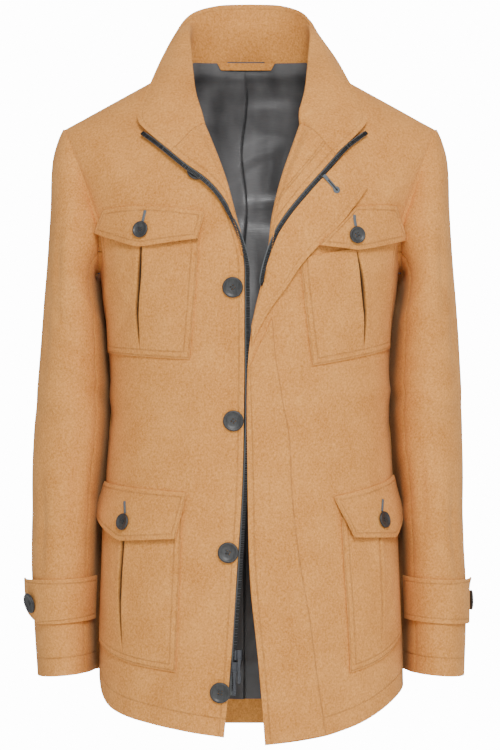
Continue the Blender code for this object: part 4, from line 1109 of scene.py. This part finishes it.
POCKETS = {
    # corners as x, height: top inner, top outer, foot inner, foot outer; the pleat's place at the
    # top, middle and foot, and how open it is; dip of the foot; cut
    "chest_pocket_right": ((-0.0600, -0.2060), (-0.1780, -0.2060), (-0.0712, -0.3570), (-0.1695, -0.3485),
                           (0.445, 0.475, 0.428, 1.0), 0.000, (0.165, 0.170, 0.0245)),
    "chest_pocket_left": ((0.0590, -0.2370), (0.1760, -0.2100), (0.0734, -0.3647), (0.1670, -0.3430),
                          (0.462, 0.525, 0.490, 1.0), 0.001, (0.165, 0.165, 0.0215)),
    "lower_pocket_right": ((-0.0800, -0.5400), (-0.1755, -0.5300), (-0.0877, -0.7279), (-0.1800, -0.6985),
                           (0.475, 0.528, 0.508, 1.0), -0.004, (0.175, 0.205, 0.0305)),
    "lower_pocket_left": ((0.1070, -0.5450), (0.1750, -0.5350), (0.1188, -0.7300), (0.1800, -0.6900),
                          (0.430, 0.447, 0.450, 0.22), -0.004, (0.145, 0.205, 0.0230)),
}
POCKET_OUT = 0.0030
POCKET_WRINKLES = [
    # across, up, length, width, tilt, rise
    (0.20, 0.30, 0.26, 0.05, 0.7, 0.0012),
    (0.74, 0.22, 0.24, 0.05, -0.6, 0.0012),
    (0.26, 0.72, 0.30, 0.06, -0.3, -0.0010),
    (0.80, 0.66, 0.28, 0.06, 0.4, -0.0010),
    (0.60, 0.46, 0.20, 0.04, 1.2, 0.0008),
]


def round_the_body(x, z):
    """The share of the way round from the centre front to the side seam."""
    return math.asin(min(abs(x) / half_width(x, z), 1.0) ** (FRONT_ROUND / 2)) / (math.pi / 2)


def patch_point(corners, u, v, out, dip=0.0, arch=0.0):
    """A patch is laid round the body: u from its inner to its outer side, v from foot to top. dip
    moves its foot, and arch the middle of its top."""
    top_in, top_out, bottom_in, bottom_out = corners
    side = -1 if top_in[0] < 0 else 1
    low = mix(round_the_body(*bottom_in), round_the_body(*bottom_out), u)
    high = mix(round_the_body(*top_in), round_the_body(*top_out), u)
    z = mix(mix(bottom_in[1], bottom_out[1], u), mix(top_in[1], top_out[1], u), v)
    z = z + dip * (1 - v) + arch * math.sin(math.pi * u) * v
    reach = math.sin(min(mix(low, high, v), 1.0) * math.pi / 2) ** (2 / FRONT_ROUND)
    return torso_point(side * half_width(side, z) * reach, z, out)


def across_pocket(pleat, u, v):
    """The pleat's place at a height, and a column's: columns crowd to where the cloth folds in."""
    top, halfway, foot, _ = pleat
    middle = mix(foot, top, v) + (halfway - (top + foot) / 2) * math.sin(math.pi * v)
    s = 2 * u - 1
    return middle, middle + (1 - middle if s > 0 else middle) * math.copysign(abs(s) ** 1.9, s)


def slit_half(v):
    """Half the pleat's mouth, as a share of the pocket: widest halfway up to the flap."""
    return 0.0040 + 0.0125 * math.sin(math.pi * v ** 1.2)


# Painted shade in the open mouth of a pocket's pleat
def pleat_painted_shade(pleat):
    def fold(u, v):
        middle, across = across_pocket(pleat, u, v)
        return pleat[3] * ease(1.75 - abs(across - middle) / slit_half(v)) * ease((v - 0.05) / 0.12)

    return fold


def pocket_grid(corners, pleat, dip):
    def place(u, v):
        middle, across = across_pocket(pleat, u, v)
        full = math.sin(math.pi * across) * math.sin(math.pi * v) ** 0.7
        out = POCKET_OUT + 0.0030 * full * ease(v / 0.35)
        for at_u, at_v, length, width, tilt, rise in POCKET_WRINKLES:
            du, dv = across - at_u, v - at_v
            along, off = du * tilt + dv, du - dv * tilt
            out += rise * full * bell(along, length, off, width)
        depth = mix(0.0014, 0.0052, min(v * 1.6, 1.0)) * pleat[3]
        out -= depth * math.exp(-((across - middle) / slit_half(v)) ** 4)
        # The fold's edges stand up on both sides of it
        out += 0.0016 * bell(abs(across - middle) - 0.04, 0.03) * v
        # The edges are turned under and sewn down
        rim = min(across, 1 - across, v * 1.4)
        out -= 0.0006 * bell(rim, 0.02)
        return patch_point(corners, across, v, max(out, 0.0024), dip * math.sin(math.pi * across))

    return place


pocket_wool = felted_wool("felted_wool_pocket", rows=[("lrb", 0.0016), ("lrb", 0.0080)])
for name, (*corners, pleat, dip, cut) in POCKETS.items():
    cloth(name, pocket_grid(corners, pleat, dip), 72, 80, PATCH_WALL, pocket_wool, cut,
          hub=BEHIND_FRONT, fold=pleat_painted_shade(pleat))


# ---- Pocket flaps ----------------------------------------------------------------------------
# Pointed flaps, double and edge-stitched, sewn on above each pocket and hanging over its mouth.

FLAP_WALL = 0.0020
FLAPS = {
    # corners, as on the pockets; where the point lies along the foot, how far it drops, and how far
    # the top is sewn on in a curve; cut
    "chest_flap_right": ((-0.0530, -0.1826), (-0.1750, -0.1785), (-0.0600, -0.2154), (-0.1785, -0.2035),
                         (0.482, -0.0137, 0.0058), (0.160, 0.052, 0.0060)),
    "chest_flap_left": ((0.1240, -0.1765), (0.1740, -0.1733), (0.0790, -0.2225), (0.1790, -0.2110),
                        (0.36, -0.0085, 0.0018), (0.140, 0.070, 0.0053)),
    "lower_flap_right": ((-0.0735, -0.5158), (-0.1735, -0.5050), (-0.0853, -0.5709), (-0.1770, -0.5430),
                         (0.475, -0.0175, 0.0), (0.182, 0.070, 0.0102)),
    "lower_flap_left": ((0.0974, -0.5212), (0.1715, -0.4970), (0.1184, -0.5699), (0.1755, -0.5460),
                        (0.65, -0.0182, 0.0), (0.135, 0.070, 0.0080)),
}


def flap_point(flap, u, v, out_more=0.0):
    *corners, (point_u, point_z, arch), _ = flap
    towards = u / point_u if u < point_u else (1 - u) / (1 - point_u)
    # The point is soft, not sharp
    towards = 1 - math.sqrt((1 - towards) ** 2 + 0.0015)
    out = mix(0.0036, 0.0104, ease(1 - v)) + out_more
    return patch_point(corners, u, v, out, point_z * towards, arch)


flap_wool = felted_wool("felted_wool_flap", rows=[("lrbt", 0.0060), ("lr", 0.0014)])
for name, flap in FLAPS.items():
    cloth(name, lambda u, v: flap_point(flap, u, v, -0.0012 * bell(1 - v, 0.05)),
          72, 30, FLAP_WALL, flap_wool, flap[-1], hub=BEHIND_FRONT)


# ---- Cuff straps -----------------------------------------------------------------------------
# A pointed tab of double wool goes round the front of each cuff from the inner side. Its free
# end is buttoned down on the outer side, and a row of stitching follows its edge.

STRAP_TOP = 0.6235
STRAP_FOOT = 0.6775
STRAP_START = 166           # degrees round the cuff
STRAP_END = -16
STRAP_POINT = 0.52          # share of its width at which its pointed end reaches furthest


def strap_out(side, angle):
    """A strap stands off more and more towards its free end, the right one most."""
    share = (STRAP_START - angle) / (STRAP_START - STRAP_END)
    return mix(0.0032, 0.0112 if side < 0 else 0.0050, ease((share - 0.55) / 0.45))


def strap_grid(side):
    def place(u, v):
        # The free end comes to a point, and its lower corner is cut back. The left one has turned
        # round behind the sleeve, and its upper corner curls out
        back = 64 if side < 0 else 10
        end = STRAP_END + back * max(STRAP_POINT - v, 0.0) / STRAP_POINT + 6 * ease((v - 0.9) / 0.1)
        angle = mix(STRAP_START, end, u)
        curl = 0.0036 * ease((v - 0.72) / 0.28) * ease((u - 0.8) / 0.2) if side > 0 else 0.0
        return sleeve_point(side, angle, mix(STRAP_FOOT, STRAP_TOP, v), strap_out(side, angle) + curl)

    return place


strap_wool = felted_wool("felted_wool_strap", rows=[("lrbt", 0.0060)])
for name, side in (("right", -1), ("left", 1)):
    cloth(f"cuff_strap_{name}", strap_grid(side), 100, 26, FLAP_WALL, strap_wool,
          (0.200, 0.062, 0.0111), hub=(side * SLEEVE_MIDDLE, SIDE_Y))


# ---- Hanger loop -----------------------------------------------------------------------------
# A narrow strip of the wool, its two ends caught in the back neck seam, stands off the collar.

LOOP_ENDS = (-0.041, 0.031)
LOOP_MIDDLE = -0.005


def loop_place(u, v):
    # Its foot is narrower than its top
    x = LOOP_MIDDLE + (mix(*LOOP_ENDS, u) - LOOP_MIDDLE) * mix(0.86, 1.0, v)
    wall = torso_point(x, NECK_TOP, -0.0050, back=True)
    stand_off = 0.0022 * math.sin(math.pi * u) ** 0.5
    return Vector((x, wall.y - stand_off, mix(0.0018, 0.0109, v)))


cloth("hanger_loop", loop_place, 50, 10, 0.0012, plain_wool, (0.085, 0.0125, 0.00085), hub=(0.0, 0.5))


# ---- Zip -------------------------------------------------------------------------------------
# Black metal teeth clenched on a woven polyester tape, which shows slate grey. It turns out with
# the lapels, and the right one runs on down the front's edge.

TOOTH_PITCH = 0.0019
TAPE_HALF = 0.0027
TAPE_RIB = 0.0008
# Half the width, length and height of a tooth, and of the two stops at each tape's top
TOOTH = (0.0021, 0.00056, 0.0012)
STOP = (0.0024, 0.00085, 0.0016)


def zip_tape(name):
    """Woven polyester tape, a flat slate grey with slanting ribs."""
    material, tree, shader = new_material(name)
    edge = add(tree, "ShaderNodeAttribute", {}, attribute_name="edge")
    parts = add(tree, "ShaderNodeSeparateColor", {0: edge.outputs["Color"]}).outputs
    slant = add(tree, "ShaderNodeMath", {0: parts[0], 1: 0.7, 2: parts[2]},
                operation="MULTIPLY_ADD").outputs[0]
    rib = add(tree, "ShaderNodeMath", {0: slant, 1: math.tau / TAPE_RIB}, operation="MULTIPLY").outputs[0]
    rib = add(tree, "ShaderNodeMath", {0: rib}, operation="SINE").outputs[0]
    tone = add(tree, "ShaderNodeMapRange", {"Value": rib, "From Min": -1.0}).outputs[0]
    colour = add(tree, "ShaderNodeMix", {0: tone, 6: srgb("404446"), 7: srgb("686c6e")},
                 data_type="RGBA").outputs[2]
    bump = add(tree, "ShaderNodeBump", {"Height": tone, "Strength": 0.5, "Distance": 0.0003})
    feed(tree, shader, {"Base Color": colour, "Normal": bump.outputs[0], "Roughness": 0.6})
    return material


def dark_metal(name, shade, light, roughness, metallic):
    """Black-plated die-cast metal, its plating a little uneven and rubbed."""
    material, tree, shader = new_material(name)
    place = add(tree, "ShaderNodeTexCoord", {}).outputs["Object"]
    rubbed = add(tree, "ShaderNodeTexNoise", {"Vector": place, "Scale": 420.0, "Detail": 4.0}).outputs[0]
    tone = add(tree, "ShaderNodeMapRange", {"Value": rubbed, "From Min": 0.35, "From Max": 0.70}).outputs[0]
    colour = add(tree, "ShaderNodeMix", {0: tone, 6: srgb(shade), 7: srgb(light)},
                 data_type="RGBA").outputs[2]
    gloss = add(tree, "ShaderNodeMapRange", {"Value": rubbed, "To Min": roughness - 0.08,
                                             "To Max": roughness + 0.14}).outputs[0]
    bump = add(tree, "ShaderNodeBump", {"Height": rubbed, "Strength": 0.25, "Distance": 0.0002})
    feed(tree, shader, {"Base Color": colour, "Roughness": gloss, "Normal": bump.outputs[0],
                        "Metallic": metallic})
    return material


def zip_stations(readers, last, pitch):
    """Stations a pitch apart along the zip's line."""
    found, passed = [0.0], 0.0
    fine = 60
    for i in range(last * fine):
        a, b = i / fine, (i + 1) / fine
        passed += math.hypot(readers[0](b) - readers[0](a), readers[1](b) - readers[1](a))
        if passed >= pitch * len(found) and b < last - 0.1:
            found.append(b)
    return found


def tooth(teeth, readers, station, across, half_wide, half_long, half_high):
    """One tooth: a small block set on the zip's line, square to it."""
    x, z, out = beside_zip(readers, station, across)
    ahead_x, ahead_z, ahead_out = beside_zip(readers, station + 0.05, across)
    middle = torso_point(x, z, out + 0.0008)
    along = (torso_point(ahead_x, ahead_z, ahead_out + 0.0008) - middle).normalized()
    normal = (torso_point(x, z, out + 0.01) - middle).normalized()
    wide = along.cross(normal).normalized()
    normal = wide.cross(along)
    axes = Matrix((wide * half_wide * 2, along * half_long * 2, normal * half_high * 2))
    stand = Matrix.Translation(middle) @ axes.transposed().to_4x4()
    bmesh.ops.create_cube(teeth, size=1.0, matrix=stand)


zip_cloth = zip_tape("zip_tape_weave")
tooth_metal = dark_metal("zip_teeth_metal", "070708", "141415", 0.50, 0.0)
ZIPS = (
    # name, table, how far across the tape the teeth stand on the lapel and below it
    ("right", ZIP_RIGHT, -0.0005, 0.0013),
    ("left", ZIP_LEFT, 0.0006, 0.0006),
)
for name, table, upper, lower in ZIPS:
    readers, last = stations(table), len(table) - 1

    def tape_place(u, v):
        return torso_point(*beside_zip(readers, v * last, mix(-TAPE_HALF, TAPE_HALF, u)))

    cloth(f"zip_{name}", tape_place, 4, 24 * last, 0.0008, zip_cloth, None, hub=BEHIND_FRONT)
    teeth = bmesh.new()
    for number, station in enumerate(zip_stations(readers, last, TOOTH_PITCH)):
        across = mix(upper, lower, ease((station - 7.0) / 2.5))
        tooth(teeth, readers, station, across, *(STOP if number < 2 else TOOTH))
    bmesh.ops.bevel(teeth, geom=teeth.edges[:], offset=0.00022, segments=1, profile=0.5,
                    affect="EDGES", material=-1)
    fit(new_object(f"zip_{name}_teeth", teeth, tooth_metal))


# ---- Sliders and pull tabs -------------------------------------------------------------------
# The two-way zip's die-cast sliders with flat tabs, plated black. The solids are kept and
# their edges are rounded.

slider_metal = dark_metal("slider_plated_metal", "17181a", "2c2d30", 0.20, 0.9)
for name in ("slider_upper", "slider_lower", "pull_upper", "pull_lower"):
    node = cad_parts[name]
    node.data.materials.clear()
    node.data.materials.append(slider_metal)
    weld = node.modifiers.new("Weld", "WELD")
    weld.merge_threshold = 0.00002
    round_edges(node, 0.0004, 3)


# ---- Buttons ---------------------------------------------------------------------------------
# Cast polyester made to look like dark horn: turned with a raised rim and a dished face, drilled
# with four holes and sewn on with slate thread crossed over.

BUTTON_THICK = 0.0036
THREAD_BAR = (0.0062, 0.0008, 0.0010, 1.0)  # length, width and height of the crossed thread
HOLE_RADIUS = 0.0010
HOLE_OFF = 0.0017           # from the button's middle, along x and along y
FRONT_BUTTON = 0.0248
POCKET_BUTTON = 0.0202
FRONT_BUTTONS = [
    # x, height
    (-0.0622, -0.1340),
    (-0.0203, -0.2719),
    (-0.0197, -0.4305),
    (-0.0258, -0.5866),
    (-0.0350, -0.7518),
]
POCKET_BUTTONS = {
    "chest_button_right": (-0.1292, -0.2035),
    "chest_button_left": (0.1266, -0.2097),
    "lower_button_right": (-0.1505, -0.5519),
    "lower_button_left": (0.1592, -0.5498),
}


def cast_horn(name):
    """Slate-grey polyester with faint paler streaks, semi-matt, polished on the rim."""
    material, tree, shader = new_material(name)
    place = add(tree, "ShaderNodeTexCoord", {}).outputs["Object"]
    drawn = add(tree, "ShaderNodeMapping", {"Vector": place, "Rotation": (0.0, 0.6, 0.0),
                                            "Scale": (1.0, 1.0, 0.25)}).outputs[0]
    streak = add(tree, "ShaderNodeTexNoise", {"Vector": drawn, "Scale": 260.0, "Detail": 4.0,
                                              "Distortion": 0.8}).outputs[0]
    tone = add(tree, "ShaderNodeMapRange", {"Value": streak, "From Min": 0.32, "From Max": 0.72}).outputs[0]
    colour = add(tree, "ShaderNodeMix", {0: tone, 6: srgb("242424"), 7: srgb("3a3b3b")},
                 data_type="RGBA").outputs[2]
    gloss = add(tree, "ShaderNodeMapRange", {"Value": streak, "To Min": 0.34, "To Max": 0.50}).outputs[0]
    bump = add(tree, "ShaderNodeBump", {"Height": streak, "Strength": 0.12, "Distance": 0.0002})
    feed(tree, shader, {"Base Color": colour, "Roughness": gloss, "Normal": bump.outputs[0]})
    return material


THREAD_PITCH = 0.00055


def sewing_thread(name, shade, light):
    """Spun polyester thread, its strands laid side by side across the stitching."""
    material, tree, shader = new_material(name)
    edge = add(tree, "ShaderNodeAttribute", {}, attribute_name="edge")
    parts = add(tree, "ShaderNodeSeparateColor", {0: edge.outputs["Color"]}).outputs
    strand = add(tree, "ShaderNodeMath", {0: parts[2], 1: math.tau / THREAD_PITCH},
                 operation="MULTIPLY").outputs[0]
    strand = add(tree, "ShaderNodeMath", {0: strand}, operation="SINE").outputs[0]
    tone = add(tree, "ShaderNodeMapRange", {"Value": strand, "From Min": -1.0}).outputs[0]
    colour = add(tree, "ShaderNodeMix", {0: tone, 6: srgb(shade), 7: srgb(light)},
                 data_type="RGBA").outputs[2]
    # Painted shade: the slit and the wool's cut edge in it are drawn dark
    slit_shade = add(tree, "ShaderNodeMapRange", {"Value": edge.outputs["Alpha"], "From Min": 0.35,
                                            "From Max": 0.65}).outputs[0]
    colour = add(tree, "ShaderNodeMix", {0: slit_shade, 6: colour, 7: srgb("121212")},
                 data_type="RGBA").outputs[2]
    bump = add(tree, "ShaderNodeBump", {"Height": tone, "Strength": 0.4, "Distance": 0.0002})
    feed(tree, shader, {"Base Color": colour, "Normal": bump.outputs[0], "Roughness": 0.7})
    return material


button_horn = cast_horn("button_cast_horn")
slate_thread = sewing_thread("slate_thread", "434a4e", "6a7175")


def drilled_button(diameter):
    """The turned profile with four holes bored through it, and thread crossed through them."""
    radius = diameter / 2
    # Shares of the radius and of the thickness: dished face, raised rim, rounded side, flat back
    profile = [(0.0, 0.56), (0.30, 0.55), (0.46, 0.60), (0.66, 0.66), (0.76, 0.82), (0.83, 0.97),
               (0.90, 1.00), (0.96, 0.90), (1.00, 0.62), (0.99, 0.40), (0.90, 0.12), (0.60, 0.0),
               (0.0, 0.0)]
    turned = bmesh.new()
    chain = [turned.verts.new((share * radius, 0.0, height * BUTTON_THICK)) for share, height in profile]
    edges = [turned.edges.new(pair) for pair in zip(chain, chain[1:])]
    bmesh.ops.spin(turned, geom=chain + edges, cent=(0, 0, 0), axis=(0, 0, 1), dvec=(0, 0, 0),
                   angle=math.tau, steps=48, use_merge=True, use_duplicate=False)
    bmesh.ops.remove_doubles(turned, verts=turned.verts[:], dist=0.00001)
    bmesh.ops.recalc_face_normals(turned, faces=turned.faces[:])
    blank = new_object("button_blank", turned)
    drills = bmesh.new()
    for x, y in ((1, 1), (1, -1), (-1, 1), (-1, -1)):
        middle = Matrix.Translation((x * HOLE_OFF, y * HOLE_OFF, 0.0))
        bmesh.ops.create_cone(drills, cap_ends=True, segments=14, radius1=HOLE_RADIUS,
                              radius2=HOLE_RADIUS, depth=0.012, matrix=middle)
    drill = new_object("button_drill", drills)
    cut = blank.modifiers.new("Holes", "BOOLEAN")
    cut.operation = "DIFFERENCE"
    cut.object = drill
    graph = bpy.context.evaluated_depsgraph_get()
    mesh = bpy.data.meshes.new_from_object(blank.evaluated_get(graph))
    bpy.data.objects.remove(blank)
    bpy.data.objects.remove(drill)
    whole = bmesh.new()
    whole.from_mesh(mesh)
    whole.verts.layers.float_color.new("edge")
    before = len(whole.faces)
    for turn in (45, 135):
        stand = (Matrix.Translation((0.0, 0.0, 0.60 * BUTTON_THICK))
                 @ Matrix.Rotation(math.radians(turn), 4, "Z") @ Matrix.Diagonal(THREAD_BAR))
        bar = bmesh.ops.create_cube(whole, size=1.0, matrix=stand)
        edges = list({edge for vertex in bar["verts"] for edge in vertex.link_edges})
        bmesh.ops.bevel(whole, geom=edges, offset=0.0003, segments=2, profile=0.5,
                        affect="EDGES", material=-1)
    whole.faces.ensure_lookup_table()
    for face in whole.faces[before:]:
        face.material_index = 1
    whole.to_mesh(mesh)
    whole.free()
    mesh.materials.clear()
    mesh.materials.append(button_horn)
    mesh.materials.append(slate_thread)
    return mesh


button_meshes = {size: drilled_button(size) for size in (FRONT_BUTTON, POCKET_BUTTON)}


def sew_button(name, diameter, point, normal, turn):
    mesh = button_meshes[diameter].copy()
    mesh.name = f"{name}_turned"
    stand = normal.to_track_quat("Z", "Y").to_matrix().to_4x4()
    mesh.transform(Matrix.Translation(point) @ stand @ Matrix.Rotation(math.radians(turn), 4, "Z"))
    mesh.shade_smooth()
    obj = bpy.data.objects.new(f"{name}_turned", mesh)
    bpy.context.scene.collection.objects.link(obj)
    round_edges(obj, 0.00012, 2, 45)
    fit(obj, name)


for number, (x, z) in enumerate(FRONT_BUTTONS, start=1):
    # Each one stays as sewn, turned and tipped a little by its thread shank
    normal = (torso_point(x, z, 0.01) - torso_point(x, z)).normalized()
    tip = Vector((0.05 * math.sin(number * 2.3), 0.0, 0.05 * math.cos(number * 1.7)))
    sew_button(f"front_button_{number}", FRONT_BUTTON, torso_point(x, z, 0.0016),
               (normal + tip).normalized(), 17 * number)


def halve(below):
    """The place from 0 to 1 up to which below(place) is true."""
    low, high = 0.0, 1.0
    for _ in range(18):
        middle = (low + high) / 2
        low, high = (middle, high) if below(middle) else (low, middle)
    return low


def flap_spot(flap, x, z):
    """The place on a flap that lies over x and height z."""
    u = v = 0.5
    for _ in range(8):
        u = halve(lambda t: abs(flap_point(flap, t, v).x) < abs(x))
        v = halve(lambda t: flap_point(flap, u, t).z < z)
    return u, v


def flap_normal(flap, u, v):
    across = flap_point(flap, u + 0.05, v) - flap_point(flap, u - 0.05, v)
    up = flap_point(flap, u, v + 0.1) - flap_point(flap, u, v - 0.1)
    normal = across.cross(up).normalized()
    return -normal if normal.y > 0 else normal


for number, (name, (x, z)) in enumerate(POCKET_BUTTONS.items()):
    flap = FLAPS[name.replace("button", "flap")]
    u, v = flap_spot(flap, x, z)
    normal = flap_normal(flap, u, v)
    sew_button(name, POCKET_BUTTON, flap_point(flap, u, v) + normal * 0.0014, normal, 25 * number)

CUFF_BUTTON_DROP = 0.6510
for name, side, angle in (("cuff_button_right", -1, 34), ("cuff_button_left", 1, -6)):
    out = strap_out(side, angle)
    point, before, after = (sleeve_point(side, angle + turn, CUFF_BUTTON_DROP, out) for turn in (0, -4, 4))
    up = sleeve_point(side, angle, CUFF_BUTTON_DROP - 0.010, out) - point
    normal = (after - before).cross(up).normalized()
    if normal.x * side < 0:
        normal = -normal
    if side < 0:
        # Its thread shank lets the right one tip forward and down
        normal = (normal + Vector((0.0, -0.25, -0.22))).normalized()
    sew_button(name, FRONT_BUTTON, point + normal * (0.0026 if side < 0 else 0.0011), normal, 40)


# ---- Buttonholes -----------------------------------------------------------------------------
# Slate thread worked close round a slit: plain bars on the flaps, and one with a round eye where
# the covered placket turns out.

BUTTONHOLES = {
    # flap, upper end and lower end as x, height
    "chest_flap_right": ((-0.1240, -0.1805), (-0.1272, -0.1945)),
    "chest_flap_left": ((0.1237, -0.1860), (0.1251, -0.1995)),
    "lower_flap_right": ((-0.1492, -0.5275), (-0.1484, -0.5420)),
    "lower_flap_left": ((0.1584, -0.5255), (0.1572, -0.5400)),
}


def worked_hole(name, place, normal, half_wide, eye, raise_by):
    """A strip of stitches along place(0) to place(1) on the cloth. One with an eye, given by its
    radius, has a slit drawn dark in painted shade."""
    strip = bmesh.new()
    bmesh.ops.create_grid(strip, x_segments=16, y_segments=60, size=0.5)
    field = strip.verts.layers.float_color.new("edge")
    length = (place(1.0) - place(0.0)).length
    for vertex in strip.verts:
        s, t = vertex.co.x * 2, vertex.co.y + 0.5
        along = t * length
        from_end = length - along
        wide, slit_shade = half_wide, 0.0
        if eye and from_end < 2 * eye:
            ring = math.sqrt(max(eye * eye - (from_end - eye) ** 2, 0.0))
            wide = ring if from_end < eye else max(half_wide, ring)
        if eye and from_end >= 0.6 * eye:
            slit_shade = 0.36 * half_wide if along > 0.3 * length else 0.0
            slit_shade = max(slit_shade, 0.42 * (1 - min(abs(from_end - eye) / (0.5 * eye), 1.0)) * eye)
        vertex[field] = (abs(s), 0.0, along, 1.0 if abs(s * wide) < slit_shade else 0.0)
        ahead = (place(min(t + 0.02, 1.0)) - place(max(t - 0.02, 0.0))).normalized()
        vertex.co = (place(t) + ahead.cross(normal).normalized() * s * wide
                     + normal * (raise_by + 0.0004 * (1 - s * s)))
    obj = new_object(name, strip, slate_thread)
    obj.data.shade_smooth()
    wall = obj.modifiers.new("Wall", "SOLIDIFY")
    wall.thickness = 0.0006
    wall.offset = 0.0
    fit(obj)


for name, (top, foot) in BUTTONHOLES.items():
    flap = FLAPS[name]
    (top_u, top_v), (foot_u, foot_v) = flap_spot(flap, *top), flap_spot(flap, *foot)

    def on_flap(t):
        return flap_point(flap, mix(top_u, foot_u, t), mix(top_v, foot_v, t))

    normal = flap_normal(flap, foot_u, foot_v)
    worked_hole(f"{name}_buttonhole", on_flap, normal, 0.0018, 0.0, 0.0016)


def on_placket(t):
    """From beside the zip, down and out across the turned placket."""
    return torso_point(mix(0.0858, 0.1030, t), mix(-0.1415, -0.1615, t), 0.0078)


hole_middle = (0.094, -0.146)
normal = (torso_point(*hole_middle, 0.01) - torso_point(*hole_middle)).normalized()
worked_hole("placket_buttonhole", on_placket, normal, 0.0022, 0.0042, 0.0021)


# ---- Studio ----------------------------------------------------------------------------------
# A plain painted floor well below the hanging jacket, one large soft light before it, a fill from
# each side and from low in front, one light behind, and a camera level with the jacket's middle.

FLOOR = -1.55
VIEW_HEIGHT = -0.376
VIEW_DISTANCE = 4.6
floor_paint, tree, shader = new_material("floor_pale_paint")
feed(tree, shader, {"Base Color": srgb("f4f4f2"), "Roughness": 0.9})
floor = bmesh.new()
bmesh.ops.create_grid(floor, x_segments=1, y_segments=1, size=3.0, matrix=Matrix.Translation((0, 0, FLOOR)))
new_object("floor", floor, floor_paint)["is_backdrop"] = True


def soft_light(name, at, size, watts):
    """A square soft light that faces the jacket's middle."""
    light = bpy.data.lights.new(name, "AREA")
    light.size = size
    light.energy = watts
    lamp = bpy.data.objects.new(name, light)
    lamp.location = at
    lamp.rotation_euler = (Vector((0.0, 0.0, -0.4)) - Vector(at)).to_track_quat("-Z", "Y").to_euler()
    bpy.context.scene.collection.objects.link(lamp)


soft_light("front_light", (0.4, -3.3, 1.9), 1.2, 132.0)
soft_light("left_fill", (2.8, -2.2, 0.2), 1.4, 20.0)
soft_light("right_fill", (-2.8, -2.0, 0.2), 1.4, 13.0)
soft_light("low_fill", (0.05, -4.2, -0.9), 0.7, 20.0)
soft_light("back_light", (0.3, 3.4, 1.2), 2.0, 70.0)
world = bpy.data.worlds.new("studio")
world.use_nodes = True
tree = world.node_tree
# The room's soft fill is low, and the backdrop that the camera sees is white
seen = add(tree, "ShaderNodeLightPath", {}).outputs["Is Camera Ray"]
strength = add(tree, "ShaderNodeMapRange", {"Value": seen, "To Min": 0.55, "To Max": 14.0}).outputs[0]
feed(tree, tree.nodes["Background"], {"Color": srgb("ffffff"), "Strength": strength})
bpy.context.scene.world = world

camera_data = bpy.data.cameras.new("camera")
camera_data.lens = 180.98
camera_data.sensor_width = 36.0
camera = bpy.data.objects.new("camera", camera_data)
camera.location = (0.0, -VIEW_DISTANCE, VIEW_HEIGHT)
camera.rotation_euler = (math.pi / 2, 0.0, 0.0)
bpy.context.scene.collection.objects.link(camera)
bpy.context.scene.camera = camera

boxes = {"cad": cad_box, "visual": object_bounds()}
{name: [list(corner) for corner in box] for name, box in boxes.items()}
